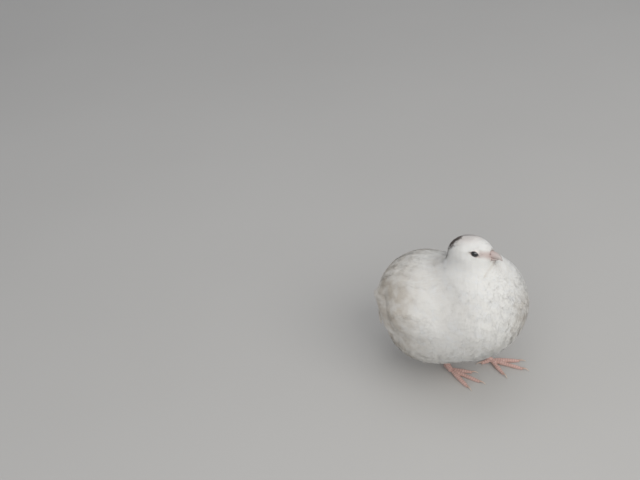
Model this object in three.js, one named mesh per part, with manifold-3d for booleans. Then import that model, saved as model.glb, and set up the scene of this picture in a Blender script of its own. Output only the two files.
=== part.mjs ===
// Coturnix quail of a white domestic strain, standing at rest with its plumage fluffed.
// Lengths are millimetres. +X is forward, towards the bill, +Y is the bird's left and +Z is up.
// The origin is on the floor, under the middle of the bird's box.

import * as THREE from "three";
import { mergeVertices } from "three/addons/utils/BufferGeometryUtils.js";
import Module from "manifold-3d";

const wasm = await Module();
wasm.setup();

// Driving dimensions
const GAP = 0.3; // left between two pieces that meet

// The trunk's plumage
const BODY = { length: 100, width: 80, depth: 72, x: 3.5, height: 56.7, pitch: 11 };

// Its lobes: their places from the body's middle, and their half sizes as shares of its size
const BODY_LOBES = [
  { name: "barrel", ahead: 0, above: 0, share: [0.45, 0.49, 0.49], pitch: 0 },
  { name: "breast", ahead: 25, above: 10, share: [0.29, 0.455, 0.43], pitch: 0 },
  { name: "back", ahead: -20, above: 17, share: [0.32, 0.45, 0.38], pitch: -10 },
  { name: "vent", ahead: -21, above: -9, share: [0.29, 0.425, 0.34], pitch: -10 },
];

// The skull with its feathers, drawn back over the breast and rolled to look up with the right eye
const HEAD = { length: 30, width: 24, depth: 23, x: 15.9, height: 114, pitch: 12, roll: -22 };
const FACE = { ahead: 8, above: -2, half: [8.6, 7.6, 7.8], pitch: -12 };
const JOWL = { ahead: 3, above: -6, half: [11, 10.5, 10] };
const EYE = { diameter: 7.2, ahead: 7.2, side: 7.6, above: 0.7 };

// The bill. Its ridge's and its under side's heights are from the skull's middle
const BILL = {
  length: 12,
  width: 6.6,
  depth: 7.4,
  rooted: 3,
  ridge: [-1.4, -1, -2.2, -5],
  under: [-4.2, -4.4, -5],
};

// The neck's two lobes, placed from the skull's middle
const NAPE = { ahead: -1, left: -1, below: 19, half: [17, 16, 16] };
const THROAT = { ahead: 9, left: 0, below: 23.5, half: [18, 18, 18] };

// How softly the lobes run into each other
const BLEND = { body: 14, neck: 8, skull: 4, shoulders: 16, nape: 6 };

// Wings and tail, placed from the body's middle
const WING = { front: 12, back: -50, above: 14, depth: 30, proud: 2, sunk: 4.5 };

// Flight feathers of a wing, the highest one first, and how each next one is set off from it
const QUILL = {
  count: 5,
  halfWidth: 4,
  halfThickness: 0.8,
  root: { ahead: -24, above: 20, lower: 4 },
  bend: { ahead: -42, above: 18, lower: 3.6 },
  tip: { ahead: -57.5, out: 12, above: 13, shorter: 3, further: 3.4, lower: 3.6 },
};
const TAIL = {
  root: { ahead: -43, above: 10 },
  tip: { ahead: -59, above: -23 },
  length: 36,
  feathers: 7,
  feather: { width: 8, thickness: 1.4 },
  spread: 5,
  camber: 6,
  coverts: [19, 12, 6.5],
};

// The feet's middle lies ahead of and to the left of the body's, so the weight is over the right
// foot, the rear one. The hocks are tucked up into the belly
const STANCE = { width: 20, stride: 25, ahead: 13.5, left: 4.5 };
const HOCK = { behind: 13, stride: 8.75, out: 12, height: 27 };
const THIGH = { ahead: 9, out: 3, above: 1, half: [19, 10.5, 18], pitch: 20 };
const SHANK = { radius: 2, jointRadius: 2.6 };
const TOE = { baseRadius: 1.8, tipRadius: 1.25, sink: 0.45 };
const CLAW = { length: 5, baseRadius: 0.95, tipRadius: 0.4 };

// Toes of a foot: their lengths, and their turns from the foot's own axis towards the bird's outside
const TOES = {
  inner: { length: 17, turn: { left: -38, right: -22 }, knuckles: 2 },
  middle: { length: 25.5, turn: { left: 0, right: 0 }, knuckles: 3 },
  outer: { length: 22, turn: { left: 20, right: 25 }, knuckles: 4 },
  hind: { length: 8, turn: { left: 215, right: 205 }, knuckles: 1 },
};
const FOOT_TURN = { left: 1, right: -8 }; // of the middle toe, towards the bird's left

// How finely the forms are divided, around and along
const FINE = { around: 26, along: 20 };
const MIDDLING = { around: 20, along: 12 };
const SMALL = { around: 12, along: 10 };
const TOE_DIVISION = { around: 8, along: 6 };
const CLAW_DIVISION = { around: 6, along: 5 };
const EYE_DIVISION = { around: 12, along: 8 };
const QUILL_DIVISION = { around: 6, along: 6 };

// Materials
const white = new THREE.MeshStandardMaterial({ color: 0xe4e2db, roughness: 0.9, metalness: 0 });
const vane = new THREE.MeshStandardMaterial({ color: 0xdedbd3, roughness: 0.8, metalness: 0 });
const horn = new THREE.MeshStandardMaterial({ color: 0xcfa79a, roughness: 0.5, metalness: 0 });
const iris = new THREE.MeshStandardMaterial({ color: 0x120e0c, roughness: 0.08, metalness: 0 });
const flesh = new THREE.MeshStandardMaterial({ color: 0xc08a80, roughness: 0.6, metalness: 0 });
const nail = new THREE.MeshStandardMaterial({ color: 0xc9b7a2, roughness: 0.45, metalness: 0 });

const radians = THREE.MathUtils.degToRad;
const up = new THREE.Vector3(0, 0, 1);
const sides = { left: 1, right: -1 };

// Solids

// A closed geometry as a solid that can be cut and joined
function solidOf(geometry) {
  const bare = geometry.clone();
  bare.deleteAttribute("normal");
  bare.deleteAttribute("uv");
  const merged = mergeVertices(bare, 1e-4);
  const triVerts = new Uint32Array(merged.index.array);
  const vertProperties = merged.attributes.position.array;
  return new wasm.Manifold(new wasm.Mesh({ numProp: 3, vertProperties, triVerts }));
}

function meshOf(solid, name, material) {
  const { vertProperties, triVerts } = solid.getMesh();
  const geometry = new THREE.BufferGeometry();
  geometry.setAttribute("position", new THREE.BufferAttribute(vertProperties, 3));
  geometry.setIndex(new THREE.BufferAttribute(triVerts, 1));
  geometry.computeVertexNormals();
  const mesh = new THREE.Mesh(geometry, material);
  mesh.name = name;
  return mesh;
}

// All space above a plane, on the side that its normal points to, starting at a gap from it
function above({ point, normal }, gap = 0) {
  const size = 400;
  const box = new THREE.BoxGeometry(size, size, size);
  box.translate(0, 0, size / 2 + gap);
  box.applyQuaternion(new THREE.Quaternion().setFromUnitVectors(up, normal));
  box.translate(point.x, point.y, point.z);
  return solidOf(box);
}

const floor = { point: new THREE.Vector3(), normal: up };

// Lobes: ellipsoids that are blended into one smooth form

// pitch lifts the front of a lobe and yaw turns its front to the bird's left, in degrees
function lobe(centre, half, { pitch = 0, yaw = 0 } = {}) {
  const turn = new THREE.Euler(0, radians(-pitch), radians(yaw), "ZYX");
  return {
    centre: new THREE.Vector3(...centre),
    half: new THREE.Vector3(...half),
    unturn: new THREE.Quaternion().setFromEuler(turn).invert(),
  };
}

// Roughly the distance from a point to a lobe's surface, negative inside
function lobeDistance({ centre, half, unturn }, point) {
  const local = point.clone().sub(centre).applyQuaternion(unturn).divide(half);
  const reach = local.length();
  const slope = local.divide(half).length();
  return slope > 0 ? (reach * (reach - 1)) / slope : -half.x;
}

// The lesser of two distances, rounded off where they are within the blend of each other
function blendMin(a, b, blend) {
  const overlap = Math.max(blend - Math.abs(a - b), 0);
  return Math.min(a, b) - (overlap * overlap) / (4 * blend);
}

function blended(lobes, blend) {
  return (point) => {
    const distances = lobes.map((one) => lobeDistance(one, point));
    return distances.reduce((a, b) => blendMin(a, b, blend));
  };
}

// How far a ray from inside a form goes until it first leaves it
function wayOut(distance, from, direction) {
  const step = 1;
  const halvings = 8;
  const at = (out) => distance(from.clone().addScaledVector(direction, out));
  let inside = 0;
  while (at(inside + step) < 0) inside += step;
  let outside = inside + step;
  for (let halving = 0; halving < halvings; halving++) {
    const middle = (inside + outside) / 2;
    if (at(middle) < 0) inside = middle;
    else outside = middle;
  }
  return outside;
}

// A sphere, its poles fore and aft, whose points are moved out until they reach the form's surface
function castSurface(distance, centre, { around, along }) {
  const geometry = new THREE.SphereGeometry(1, around, along);
  geometry.rotateZ(-Math.PI / 2);
  const position = geometry.attributes.position;
  for (let i = 0; i < position.count; i++) {
    const direction = new THREE.Vector3().fromBufferAttribute(position, i).normalize();
    const point = direction.clone().multiplyScalar(wayOut(distance, centre, direction)).add(centre);
    position.setXYZ(i, point.x, point.y, point.z);
  }
  return solidOf(geometry);
}

// A sphere drawn out along a curve. radiusAt gives its half width and half height at 0 to 1 along
// the curve, and a bluntness below 1 makes its ends blunter than an egg's
function drawnOut(curve, radiusAt, { around, along }, bluntness = 0.5) {
  const geometry = new THREE.SphereGeometry(1, around, along);
  const position = geometry.attributes.position;
  for (let i = 0; i < position.count; i++) {
    const ring = new THREE.Vector3().fromBufferAttribute(position, i);
    const t = THREE.MathUtils.clamp((1 - ring.y) / 2, 0, 1);
    const spread = Math.hypot(ring.x, ring.z);
    const swell = spread > 1e-6 ? Math.pow(spread, bluntness) / spread : 0;
    const ahead = curve.getTangentAt(t);
    const across = new THREE.Vector3().crossVectors(up, ahead).normalize();
    const over = new THREE.Vector3().crossVectors(ahead, across);
    const [halfWidth, halfHeight] = radiusAt(t);
    const point = curve.getPointAt(t);
    point.addScaledVector(across, ring.x * swell * halfWidth);
    point.addScaledVector(over, ring.z * swell * halfHeight);
    position.setXYZ(i, point.x, point.y, point.z);
  }
  return solidOf(geometry);
}

function curveThrough(points) {
  return new THREE.CatmullRomCurve3(points.map((p) => new THREE.Vector3(...p)), false, "centripetal");
}

// The head's own frame: its origin in the middle of the skull, +X to the bill, turned as it is held

const headTurn = new THREE.Euler(radians(HEAD.roll), radians(-HEAD.pitch), 0, "ZYX");
const headPlace = new THREE.Matrix4()
  .makeRotationFromEuler(headTurn)
  .setPosition(HEAD.x, 0, HEAD.height);
const intoHead = headPlace.clone().invert();

function onHead(points) {
  return curveThrough(points.map((p) => new THREE.Vector3(...p).applyMatrix4(headPlace).toArray()));
}

// The plumage, without wings and tail

// A lobe of the body, placed ahead of and above the body's middle and turned with it
function bodyLobe({ ahead, above, share, pitch }) {
  const turn = radians(BODY.pitch);
  const x = BODY.x + ahead * Math.cos(turn) - above * Math.sin(turn);
  const z = BODY.height + ahead * Math.sin(turn) + above * Math.cos(turn);
  const half = [BODY.length * share[0], BODY.width * share[1], BODY.depth * share[2]];
  return lobe([x, 0, z], half, { pitch: BODY.pitch + pitch });
}

function neckLobe({ ahead, left, below, half }) {
  return lobe([HEAD.x + ahead, left, HEAD.height - below], half);
}

const bodyForm = blended(BODY_LOBES.map(bodyLobe), BLEND.body);
const neckForm = blended([neckLobe(NAPE), neckLobe(THROAT)], BLEND.neck);
const skullForm = blended(
  [
    lobe([0, 0, 0], [HEAD.length / 2, HEAD.width / 2, HEAD.depth / 2]),
    lobe([FACE.ahead, 0, FACE.above], FACE.half, { pitch: FACE.pitch }),
    lobe([JOWL.ahead, 0, JOWL.above], JOWL.half),
  ],
  BLEND.skull,
);

function plumage(point) {
  const shoulders = blendMin(bodyForm(point), neckForm(point), BLEND.shoulders);
  return blendMin(shoulders, skullForm(point.clone().applyMatrix4(intoHead)), BLEND.nape);
}

// A place ahead of, to the left of and above the body's middle
function fromBody(ahead, left, above) {
  return new THREE.Vector3(BODY.x + ahead, left, BODY.height + above);
}

const trunkCentre = fromBody(2, 0, 4);

// The plumage's surface as seen from the trunk, moved outwards by a distance
function trunkSurface(outwards, division = FINE) {
  return castSurface((point) => plumage(point) - outwards, trunkCentre, division);
}

// The place on the plumage's side, ahead of and above the body's middle
function onPlumage(ahead, side, above) {
  const sideways = side * wayOut(plumage, fromBody(ahead, 0, above), new THREE.Vector3(0, side, 0));
  return fromBody(ahead, sideways, above).toArray();
}

// Thin parting cuts: the neck's base and the head's
const neckBase = { point: fromBody(8, 0, 34), normal: new THREE.Vector3(0.42, 0, 0.91).normalize() };
const headBase = { point: fromBody(9, 0, 48), normal: new THREE.Vector3(0.12, 0.26, 0.96).normalize() };

function neck() {
  return castSurface(plumage, fromBody(9, 0, 36), FINE)
    .intersect(above(neckBase, GAP / 2))
    .subtract(above(headBase, -GAP / 2));
}

function wholeHead() {
  const centre = new THREE.Vector3(HEAD.x - 2, 0, HEAD.height - 6);
  return castSurface(plumage, centre, MIDDLING).intersect(above(headBase, GAP / 2));
}

// Each maker below takes how much its piece is grown by: nothing for the piece itself, and the gap
// for the cutter that makes room for it in a neighbour

// Bill: two halves that close along the gape, the upper one longer and hooked over the lower

const billBase = HEAD.length / 2 - 4;
const billTip = billBase + BILL.length;

function billUpper(grow = 0) {
  const curve = onHead([
    [billBase - BILL.rooted, 0, BILL.ridge[0]],
    [billBase + 4, 0, BILL.ridge[1]],
    [billTip - 3.5, 0, BILL.ridge[2]],
    [billTip, 0, BILL.ridge[3]],
  ]);
  const radiusAt = (t) => [
    (BILL.width / 2) * (1 - 0.7 * t * t) + grow,
    BILL.depth * 0.32 * (1 - 0.5 * t * t) + grow,
  ];
  return drawnOut(curve, radiusAt, SMALL, 0.6);
}

function billLower(grow = 0) {
  const curve = onHead([
    [billBase - BILL.rooted, 0, BILL.under[0]],
    [billBase + 4, 0, BILL.under[1]],
    [billTip - 2.6, 0, BILL.under[2]],
  ]);
  const radiusAt = (t) => [
    BILL.width * 0.42 * (1 - 0.6 * t * t) + grow,
    BILL.depth * 0.2 * (1 - 0.45 * t * t) + grow,
  ];
  return drawnOut(curve, radiusAt, SMALL, 0.6);
}

// Eyes: balls set deep in the sides of the skull
function eyeball(side, grow = 0) {
  const radius = EYE.diameter / 2 + grow;
  const geometry = new THREE.SphereGeometry(radius, EYE_DIVISION.around, EYE_DIVISION.along);
  geometry.translate(EYE.ahead, side * EYE.side, EYE.above);
  geometry.applyMatrix4(headPlace);
  return solidOf(geometry);
}

// Wings: folded against the sides, a shell that follows the plumage and a fan of long flight feathers

// Side view of the shell, about the body's middle: round at the bend, narrowing over the rump
function wingOutline(grow) {
  const length = WING.front - WING.back;
  const front = WING.front + grow;
  const back = WING.back - grow;
  const middle = (WING.front + WING.back) / 2;
  const shoulder = front - length * 0.26;
  const rump = middle - length * 0.29;
  const flank = middle - length * 0.19;
  const half = WING.depth / 2 + grow;
  const top = WING.above + half;
  const bottom = WING.above - half;
  const outline = new THREE.Shape();
  outline.moveTo(front, WING.above);
  outline.bezierCurveTo(front, top, shoulder, top + half * 0.1, middle, top - half * 0.1);
  outline.bezierCurveTo(rump, top - half * 0.3, back, top - half / 2, back, WING.above);
  outline.bezierCurveTo(back, bottom + half / 2, flank, bottom, middle, bottom);
  outline.bezierCurveTo(shoulder, bottom, front, bottom + half * 0.2, front, WING.above);
  return outline;
}

// A long feather that lies on the plumage and ends in a free tip behind it
function quill(side, index, grow) {
  const { root, bend, tip } = QUILL;
  const ahead = tip.ahead + index * tip.shorter;
  const out = side * (tip.out + index * tip.further);
  const curve = curveThrough([
    onPlumage(root.ahead, side, root.above - index * root.lower),
    onPlumage(bend.ahead, side, bend.above - index * bend.lower),
    fromBody(ahead, out, tip.above - index * tip.lower).toArray(),
  ]);
  const radiusAt = (t) => [QUILL.halfThickness + grow, QUILL.halfWidth * (1 - 0.3 * t) + grow];
  return drawnOut(curve, radiusAt, QUILL_DIVISION, 0.6);
}

function wing(side, grow = 0) {
  const inner = 5;
  const reach = 60;
  const sheet = new THREE.ExtrudeGeometry(wingOutline(grow), {
    depth: reach,
    bevelEnabled: false,
    curveSegments: 6,
  });
  sheet.rotateX(Math.PI / 2);
  sheet.translate(BODY.x, side > 0 ? reach + inner : -inner, BODY.height);
  let solid = solidOf(sheet)
    .intersect(trunkSurface(WING.proud + grow))
    .subtract(trunkSurface(-WING.sunk - grow, MIDDLING));
  for (let index = 0; index < QUILL.count; index++) {
    solid = solid.add(quill(side, index, grow));
  }
  return solid;
}

// Tail: a narrow fan of short feathers that hangs from the rump, under a pad of coverts

function tailFeather(sideways, grow) {
  const halfWidth = TAIL.feather.width / 2 + grow;
  const length = TAIL.length + grow;
  const depth = TAIL.feather.thickness + 2 * grow;
  const outline = new THREE.Shape();
  outline.moveTo(0, -halfWidth * 0.5);
  outline.lineTo(length * 0.75, -halfWidth);
  outline.quadraticCurveTo(length, -halfWidth * 0.9, length, 0);
  outline.quadraticCurveTo(length, halfWidth * 0.9, length * 0.75, halfWidth);
  outline.lineTo(0, halfWidth * 0.5);
  outline.closePath();
  const blade = new THREE.ExtrudeGeometry(outline, { depth, bevelEnabled: false, curveSegments: 4 });
  blade.translate(0, 0, -depth / 2);
  blade.rotateX(radians(sideways * TAIL.camber));
  blade.rotateZ(radians(sideways * TAIL.spread));
  return blade;
}

function tail(grow = 0) {
  const root = fromBody(TAIL.root.ahead, 0, TAIL.root.above);
  const down = fromBody(TAIL.tip.ahead, 0, TAIL.tip.above).sub(root).normalize();
  const across = new THREE.Vector3(0, -1, 0);
  const lie = new THREE.Matrix4().makeBasis(down, across, new THREE.Vector3().crossVectors(down, across));
  lie.setPosition(root);
  const middle = root.clone().addScaledVector(down, TAIL.length * 0.4);
  const fall = THREE.MathUtils.radToDeg(Math.acos(-down.x));
  const coverts = blended([lobe(middle.toArray(), TAIL.coverts, { pitch: fall })], 1);
  let solid = castSurface((point) => coverts(point) - grow, middle, SMALL);
  for (let index = 0; index < TAIL.feathers; index++) {
    const sideways = index - (TAIL.feathers - 1) / 2;
    const blade = tailFeather(sideways, grow);
    blade.applyMatrix4(lie);
    solid = solid.add(solidOf(blade));
  }
  return solid;
}

// Legs: a feathered thigh in the lower flank, a bare shank and a foot of four toes

function footPlace(side) {
  const height = SHANK.jointRadius - TOE.sink;
  const x = STANCE.ahead + (side * STANCE.stride) / 2;
  const y = STANCE.left + (side * STANCE.width) / 2;
  return new THREE.Vector3(x, y, height);
}

// The hock lies behind the foot, inside the belly's plumage
function hockPlace(side) {
  const x = STANCE.ahead - HOCK.behind + (side * HOCK.stride) / 2;
  return new THREE.Vector3(x, side * HOCK.out, HOCK.height);
}

function thighLobe(side, grow) {
  const centre = hockPlace(side).add(new THREE.Vector3(THIGH.ahead, side * THIGH.out, THIGH.above));
  const form = blended([lobe(centre.toArray(), THIGH.half, { pitch: THIGH.pitch })], 1);
  return castSurface((point) => form(point) - grow, centre, SMALL);
}

function shank(side, grow = 0) {
  const hock = hockPlace(side);
  const foot = footPlace(side);
  const curve = curveThrough([hock.toArray(), hock.clone().lerp(foot, 0.55).toArray(), foot.toArray()]);
  const radiusAt = (t) => {
    const knob = (SHANK.jointRadius - SHANK.radius) * Math.abs(2 * t - 1) ** 4;
    return [SHANK.radius + knob + grow, SHANK.radius + knob + grow];
  };
  return drawnOut(curve, radiusAt, TOE_DIVISION, 0.35);
}

// A place out along a toe, at a height above the floor
function alongToe(side, turn, out, height) {
  const foot = footPlace(side);
  const name = side > 0 ? "left" : "right";
  const heading = radians(FOOT_TURN[name] + side * turn[name]);
  return [foot.x + Math.cos(heading) * out, foot.y + Math.sin(heading) * out, height];
}

// A toe from the foot's joint outwards, swollen at its pads
function toe(side, { length, turn, knuckles }, grow = 0) {
  const curve = curveThrough([
    alongToe(side, turn, SHANK.jointRadius * 0.6, SHANK.jointRadius - TOE.sink),
    alongToe(side, turn, length * 0.35, TOE.baseRadius * 1.12 - TOE.sink),
    alongToe(side, turn, length, TOE.tipRadius - TOE.sink),
  ]);
  const radiusAt = (t) => {
    const plain = THREE.MathUtils.lerp(TOE.baseRadius, TOE.tipRadius, t);
    const pad = 1 + 0.1 * Math.cos(2 * Math.PI * knuckles * t);
    return [plain * pad + grow, plain * pad + grow];
  };
  return drawnOut(curve, radiusAt, TOE_DIVISION, 0.4);
}

// A claw from a toe's end, curved down to a blunt tip on the floor
function toeClaw(side, { length, turn }, grow = 0) {
  const curve = curveThrough([
    alongToe(side, turn, length - 1.6, TOE.tipRadius),
    alongToe(side, turn, length + CLAW.length * 0.4, TOE.tipRadius * 1.05),
    alongToe(side, turn, length + CLAW.length - 1, -CLAW.tipRadius / 2),
  ]);
  const radiusAt = (t) => {
    const radius = THREE.MathUtils.lerp(CLAW.baseRadius, CLAW.tipRadius, t) + grow;
    return [radius, radius];
  };
  return drawnOut(curve, radiusAt, CLAW_DIVISION, 0.5);
}

// The whole bird, each piece cut by the neighbours that go into it

const quail = new THREE.Group();

let trunk = trunkSurface(0).subtract(above(neckBase, -GAP / 2)).subtract(tail(GAP));
let head = wholeHead().subtract(billUpper(GAP)).subtract(billLower(GAP));

for (const [name, side] of Object.entries(sides)) {
  trunk = trunk.subtract(wing(side, GAP));
  quail.add(meshOf(wing(side).subtract(tail(GAP)), `wing_${name}`, vane));

  const thigh = trunk.intersect(thighLobe(side, 0)).subtract(shank(side, GAP));
  trunk = trunk.subtract(thighLobe(side, GAP)).subtract(shank(side, GAP));
  quail.add(meshOf(thigh, `thigh_${name}`, white));
  quail.add(meshOf(shank(side).intersect(above(floor)), `shank_${name}`, flesh));

  for (const [toeName, plan] of Object.entries(TOES)) {
    let toeSolid = toe(side, plan).intersect(above(floor)).subtract(shank(side, GAP));
    if (toeName !== "middle") toeSolid = toeSolid.subtract(toe(side, TOES.middle, GAP));
    quail.add(meshOf(toeSolid.subtract(toeClaw(side, plan, GAP)), `toe_${toeName}_${name}`, flesh));
    quail.add(meshOf(toeClaw(side, plan).intersect(above(floor)), `claw_${toeName}_${name}`, nail));
  }

  head = head.subtract(eyeball(side, GAP));
  quail.add(meshOf(eyeball(side), `eye_${name}`, iris));
}

quail.add(meshOf(trunk, "trunk", white));
quail.add(meshOf(neck(), "neck", white));
quail.add(meshOf(head, "head", white));
quail.add(meshOf(tail(), "tail", vane));
quail.add(meshOf(billUpper(), "bill_upper", horn));
quail.add(meshOf(billLower().subtract(billUpper(GAP)), "bill_lower", horn));

export default quail;
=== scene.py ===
# Coturnix quail of a white domestic strain: skin, plumage, bill, eyes and claws.
# Lengths are metres. +X is forward, towards the bill, +Y is the bird's left and +Z is up.

import itertools
import math

import bmesh
import bpy
import numpy as np
from mathutils import Matrix, Vector, kdtree, noise
from mathutils.bvhtree import BVHTree


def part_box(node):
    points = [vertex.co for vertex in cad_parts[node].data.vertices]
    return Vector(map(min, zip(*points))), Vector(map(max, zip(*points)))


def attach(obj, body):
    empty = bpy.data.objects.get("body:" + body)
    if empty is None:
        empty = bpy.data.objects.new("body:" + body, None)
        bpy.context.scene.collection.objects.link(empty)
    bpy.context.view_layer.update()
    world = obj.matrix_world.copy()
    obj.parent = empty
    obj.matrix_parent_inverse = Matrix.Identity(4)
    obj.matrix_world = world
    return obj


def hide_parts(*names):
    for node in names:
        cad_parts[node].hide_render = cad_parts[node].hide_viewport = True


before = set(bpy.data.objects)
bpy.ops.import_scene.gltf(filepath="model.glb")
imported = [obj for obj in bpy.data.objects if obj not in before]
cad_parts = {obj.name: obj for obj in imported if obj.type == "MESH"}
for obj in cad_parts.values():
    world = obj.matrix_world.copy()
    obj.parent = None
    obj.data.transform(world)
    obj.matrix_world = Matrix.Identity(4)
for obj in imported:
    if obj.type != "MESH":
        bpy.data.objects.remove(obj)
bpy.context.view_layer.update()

MM = 0.001
SIDES = {"left": 1, "right": -1}
TOES = ("inner", "middle", "outer", "hind")
BAKE_MAP = "OFBake"
TUFT_PATCH = 0.003  # of the bake map, across one tuft
LEFTWARDS = np.array([0, 1.0, 0])
random = np.random.default_rng(11)


# Small helpers

def unit(vectors):
    lengths = np.linalg.norm(vectors, axis=-1, keepdims=True)
    return vectors / np.maximum(lengths, 1e-12)


def smooth_step(low, high, values):
    t = np.clip((np.asarray(values, float) - low) / (high - low), 0, 1)
    return t * t * (3 - 2 * t)


def fade(lengths, start, end):
    """0 at start and 1 at end, both in millimetres, and smooth between them."""
    return smooth_step(start * MM, end * MM, lengths)


def mix(a, b, share):
    return a + (b - a) * share


def dots(a, b):
    return (a * b).sum(-1)


def distance_to(points, place):
    return np.linalg.norm(points - place, axis=-1)


def from_line(points, line):
    """The distance of points from a line of straight pieces."""
    nearest = np.full(len(points), np.inf)
    for start, end in zip(line[:-1], line[1:]):
        start = np.array(start)
        piece = np.array(end) - start
        share = np.clip((points - start) @ piece / (piece @ piece), 0, 1)
        nearest = np.minimum(nearest, np.linalg.norm(points - start - share[:, None] * piece, axis=1))
    return nearest


def mesh_points(mesh):
    points = np.empty(len(mesh.vertices) * 3, np.float32)
    mesh.vertices.foreach_get("co", points)
    return points.reshape(-1, 3).astype(float)


def node_points(name):
    return mesh_points(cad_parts[name].data)


def corner_vertices(mesh):
    """The vertex at each corner of the mesh's faces, in their order."""
    corners = np.empty(len(mesh.loops), np.int32)
    mesh.loops.foreach_get("vertex_index", corners)
    return corners


def triangles_of(mesh):
    mesh.calc_loop_triangles()
    corners = np.empty(len(mesh.loop_triangles) * 3, np.int32)
    mesh.loop_triangles.foreach_get("vertices", corners)
    return corners.reshape(-1, 3)


def middle(name):
    low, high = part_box(name)
    return np.array((low + high) / 2)


# Places read from the frame

EYES = {side: middle(f"eye_{side}") for side in SIDES}
EYE_RADIUS = (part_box("eye_left")[1].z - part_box("eye_left")[0].z) / 2
BILL_DROP = math.radians(20)  # of the bill's tip below the eyes' level, in the head's own frame

between_eyes = (EYES["left"] + EYES["right"]) / 2
head_left = unit(EYES["left"] - EYES["right"])
bill_points = node_points("bill_upper")
BILL_TIP = bill_points[distance_to(bill_points, between_eyes).argmax()]
to_bill = BILL_TIP - between_eyes
to_bill = unit(to_bill - head_left * (to_bill @ head_left))
head_forward = to_bill * math.cos(BILL_DROP) + np.cross(to_bill, head_left) * math.sin(BILL_DROP)
head_up = np.cross(head_forward, head_left)
HEAD_AXES = np.array([head_forward, head_left, head_up])
SKULL = between_eyes - head_forward * 7.2 * MM - head_up * 0.7 * MM


def in_head(points):
    """Points in the head's own frame: its origin in the skull's middle, +X to the bill."""
    return (points - SKULL) @ HEAD_AXES.T


def on_head(ahead, left, above):
    """A place given in the head's own frame, in millimetres."""
    return SKULL + np.array([ahead, left, above]) * MM @ HEAD_AXES


BILL_BASE = on_head(12.5, 0, -2.5)
BODY_CENTRE = middle("trunk") + np.array([3, 0, 2]) * MM
TAIL_LOW, TAIL_HIGH = (np.array(corner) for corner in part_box("tail"))
TAIL_ROOT = np.array([TAIL_HIGH[0] - 3.8 * MM, 0, TAIL_HIGH[2] - 4 * MM])
TAIL_TIP = np.array([TAIL_LOW[0] + 0.6 * MM, 0, TAIL_LOW[2] + 0.5 * MM])
TAIL_AXIS = unit(TAIL_TIP - TAIL_ROOT)
TAIL_OUTWARD = unit(np.cross(LEFTWARDS, TAIL_AXIS))
FLOW_END = TAIL_TIP + TAIL_AXIS * 14 * MM  # the point that the feathers' lie runs to


def foot_joint(side):
    """The lower end of the shank, where the toes meet."""
    points = node_points(f"shank_{side}")
    return points[points[:, 2].argmin()]


FEET = {side: foot_joint(side) for side in SIDES}


# Camera: at the photograph's angle, level but for a slight lean

PICTURE = (640, 480)
LENS = 50.0
SENSOR = 36.0
CAMERA = {"azimuth": 20, "elevation": 45, "distance": 0.69, "lean": -1}
FEET_PIXEL = (470.7, 366.5)  # where the floor between the feet shows in the picture


def pixel_slopes(pixel):
    """A pixel's slopes to the right of and above the camera's axis."""
    focal = LENS / SENSOR * PICTURE[0]
    return (pixel[0] - PICTURE[0] / 2) / focal, (PICTURE[1] / 2 - pixel[1]) / focal


def camera_axes(back, roll):
    """The camera's right, up and back, turned so that the target falls on its pixel."""
    level = Vector((0, 0, 1)).cross(back).normalized()
    right = Matrix.Rotation(roll, 3, back) @ level
    up = back.cross(right)
    across, above = pixel_slopes(FEET_PIXEL)
    seen = (-back + right * across + up * above).normalized()
    turn = seen.rotation_difference(-back)
    return turn @ right, turn @ up, turn @ back


def make_camera():
    azimuth = math.radians(CAMERA["azimuth"])
    elevation = math.radians(CAMERA["elevation"])
    target = (Vector(FEET["left"]) + Vector(FEET["right"])) / 2
    target.z = 0
    back = Vector((
        math.sin(azimuth) * math.cos(elevation),
        -math.cos(azimuth) * math.cos(elevation),
        math.sin(elevation),
    ))
    place = target + back * CAMERA["distance"]
    roll = 0
    for _ in range(6):
        right, up, axis = camera_axes(back, roll)
        upright = target + Vector((0, 0, 60 * MM)) - place
        foot = target - place
        x_shift = upright.dot(right) / upright.dot(axis) - foot.dot(right) / foot.dot(axis)
        y_shift = upright.dot(up) / upright.dot(axis) - foot.dot(up) / foot.dot(axis)
        lean = math.degrees(math.atan2(-x_shift, -y_shift))
        roll -= math.radians(lean - CAMERA["lean"])
    data = bpy.data.cameras.new("camera")
    data.lens = LENS
    data.sensor_width = SENSOR
    data.clip_start = 0.01
    camera = bpy.data.objects.new("camera", data)
    turn = Matrix((right, up, axis)).transposed()
    camera.matrix_world = Matrix.Translation(place) @ turn.to_4x4()
    bpy.context.scene.collection.objects.link(camera)
    bpy.context.scene.camera = camera


# Stage and lights

LIGHT_SIZE = 1.1
WARM_LIGHT = (1.0, 0.99, 0.97)
COOL_LIGHT = (0.98, 0.99, 1.0)
ROOM_LIGHT = {"colour": (0.93, 0.95, 1.0), "strength": 0.46}
FLOOR_HALF = 3.0


def area_light(name, place, watts, colour):
    data = bpy.data.lights.new(name, "AREA")
    data.shape = "DISK"
    data.size = LIGHT_SIZE
    data.energy = watts
    data.color = colour
    light = bpy.data.objects.new(name, data)
    light.location = place
    light.rotation_euler = (Vector(place) - Vector(BODY_CENTRE)).to_track_quat("Z", "Y").to_euler()
    bpy.context.scene.collection.objects.link(light)


def make_lights():
    area_light("key", (0.95, -0.4, 1.0), 7.2, WARM_LIGHT)
    area_light("front", (0.3, -0.9, 1.1), 5.0, WARM_LIGHT)
    area_light("top", (0.0, 0.1, 1.45), 2.3, COOL_LIGHT)
    world = bpy.data.worlds.new("studio")
    world.use_nodes = True
    background = world.node_tree.nodes["Background"]
    background.inputs["Color"].default_value = (*ROOM_LIGHT["colour"], 1)
    background.inputs["Strength"].default_value = ROOM_LIGHT["strength"]
    bpy.context.scene.world = world
    bpy.context.scene.view_settings.view_transform = "Standard"


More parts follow.
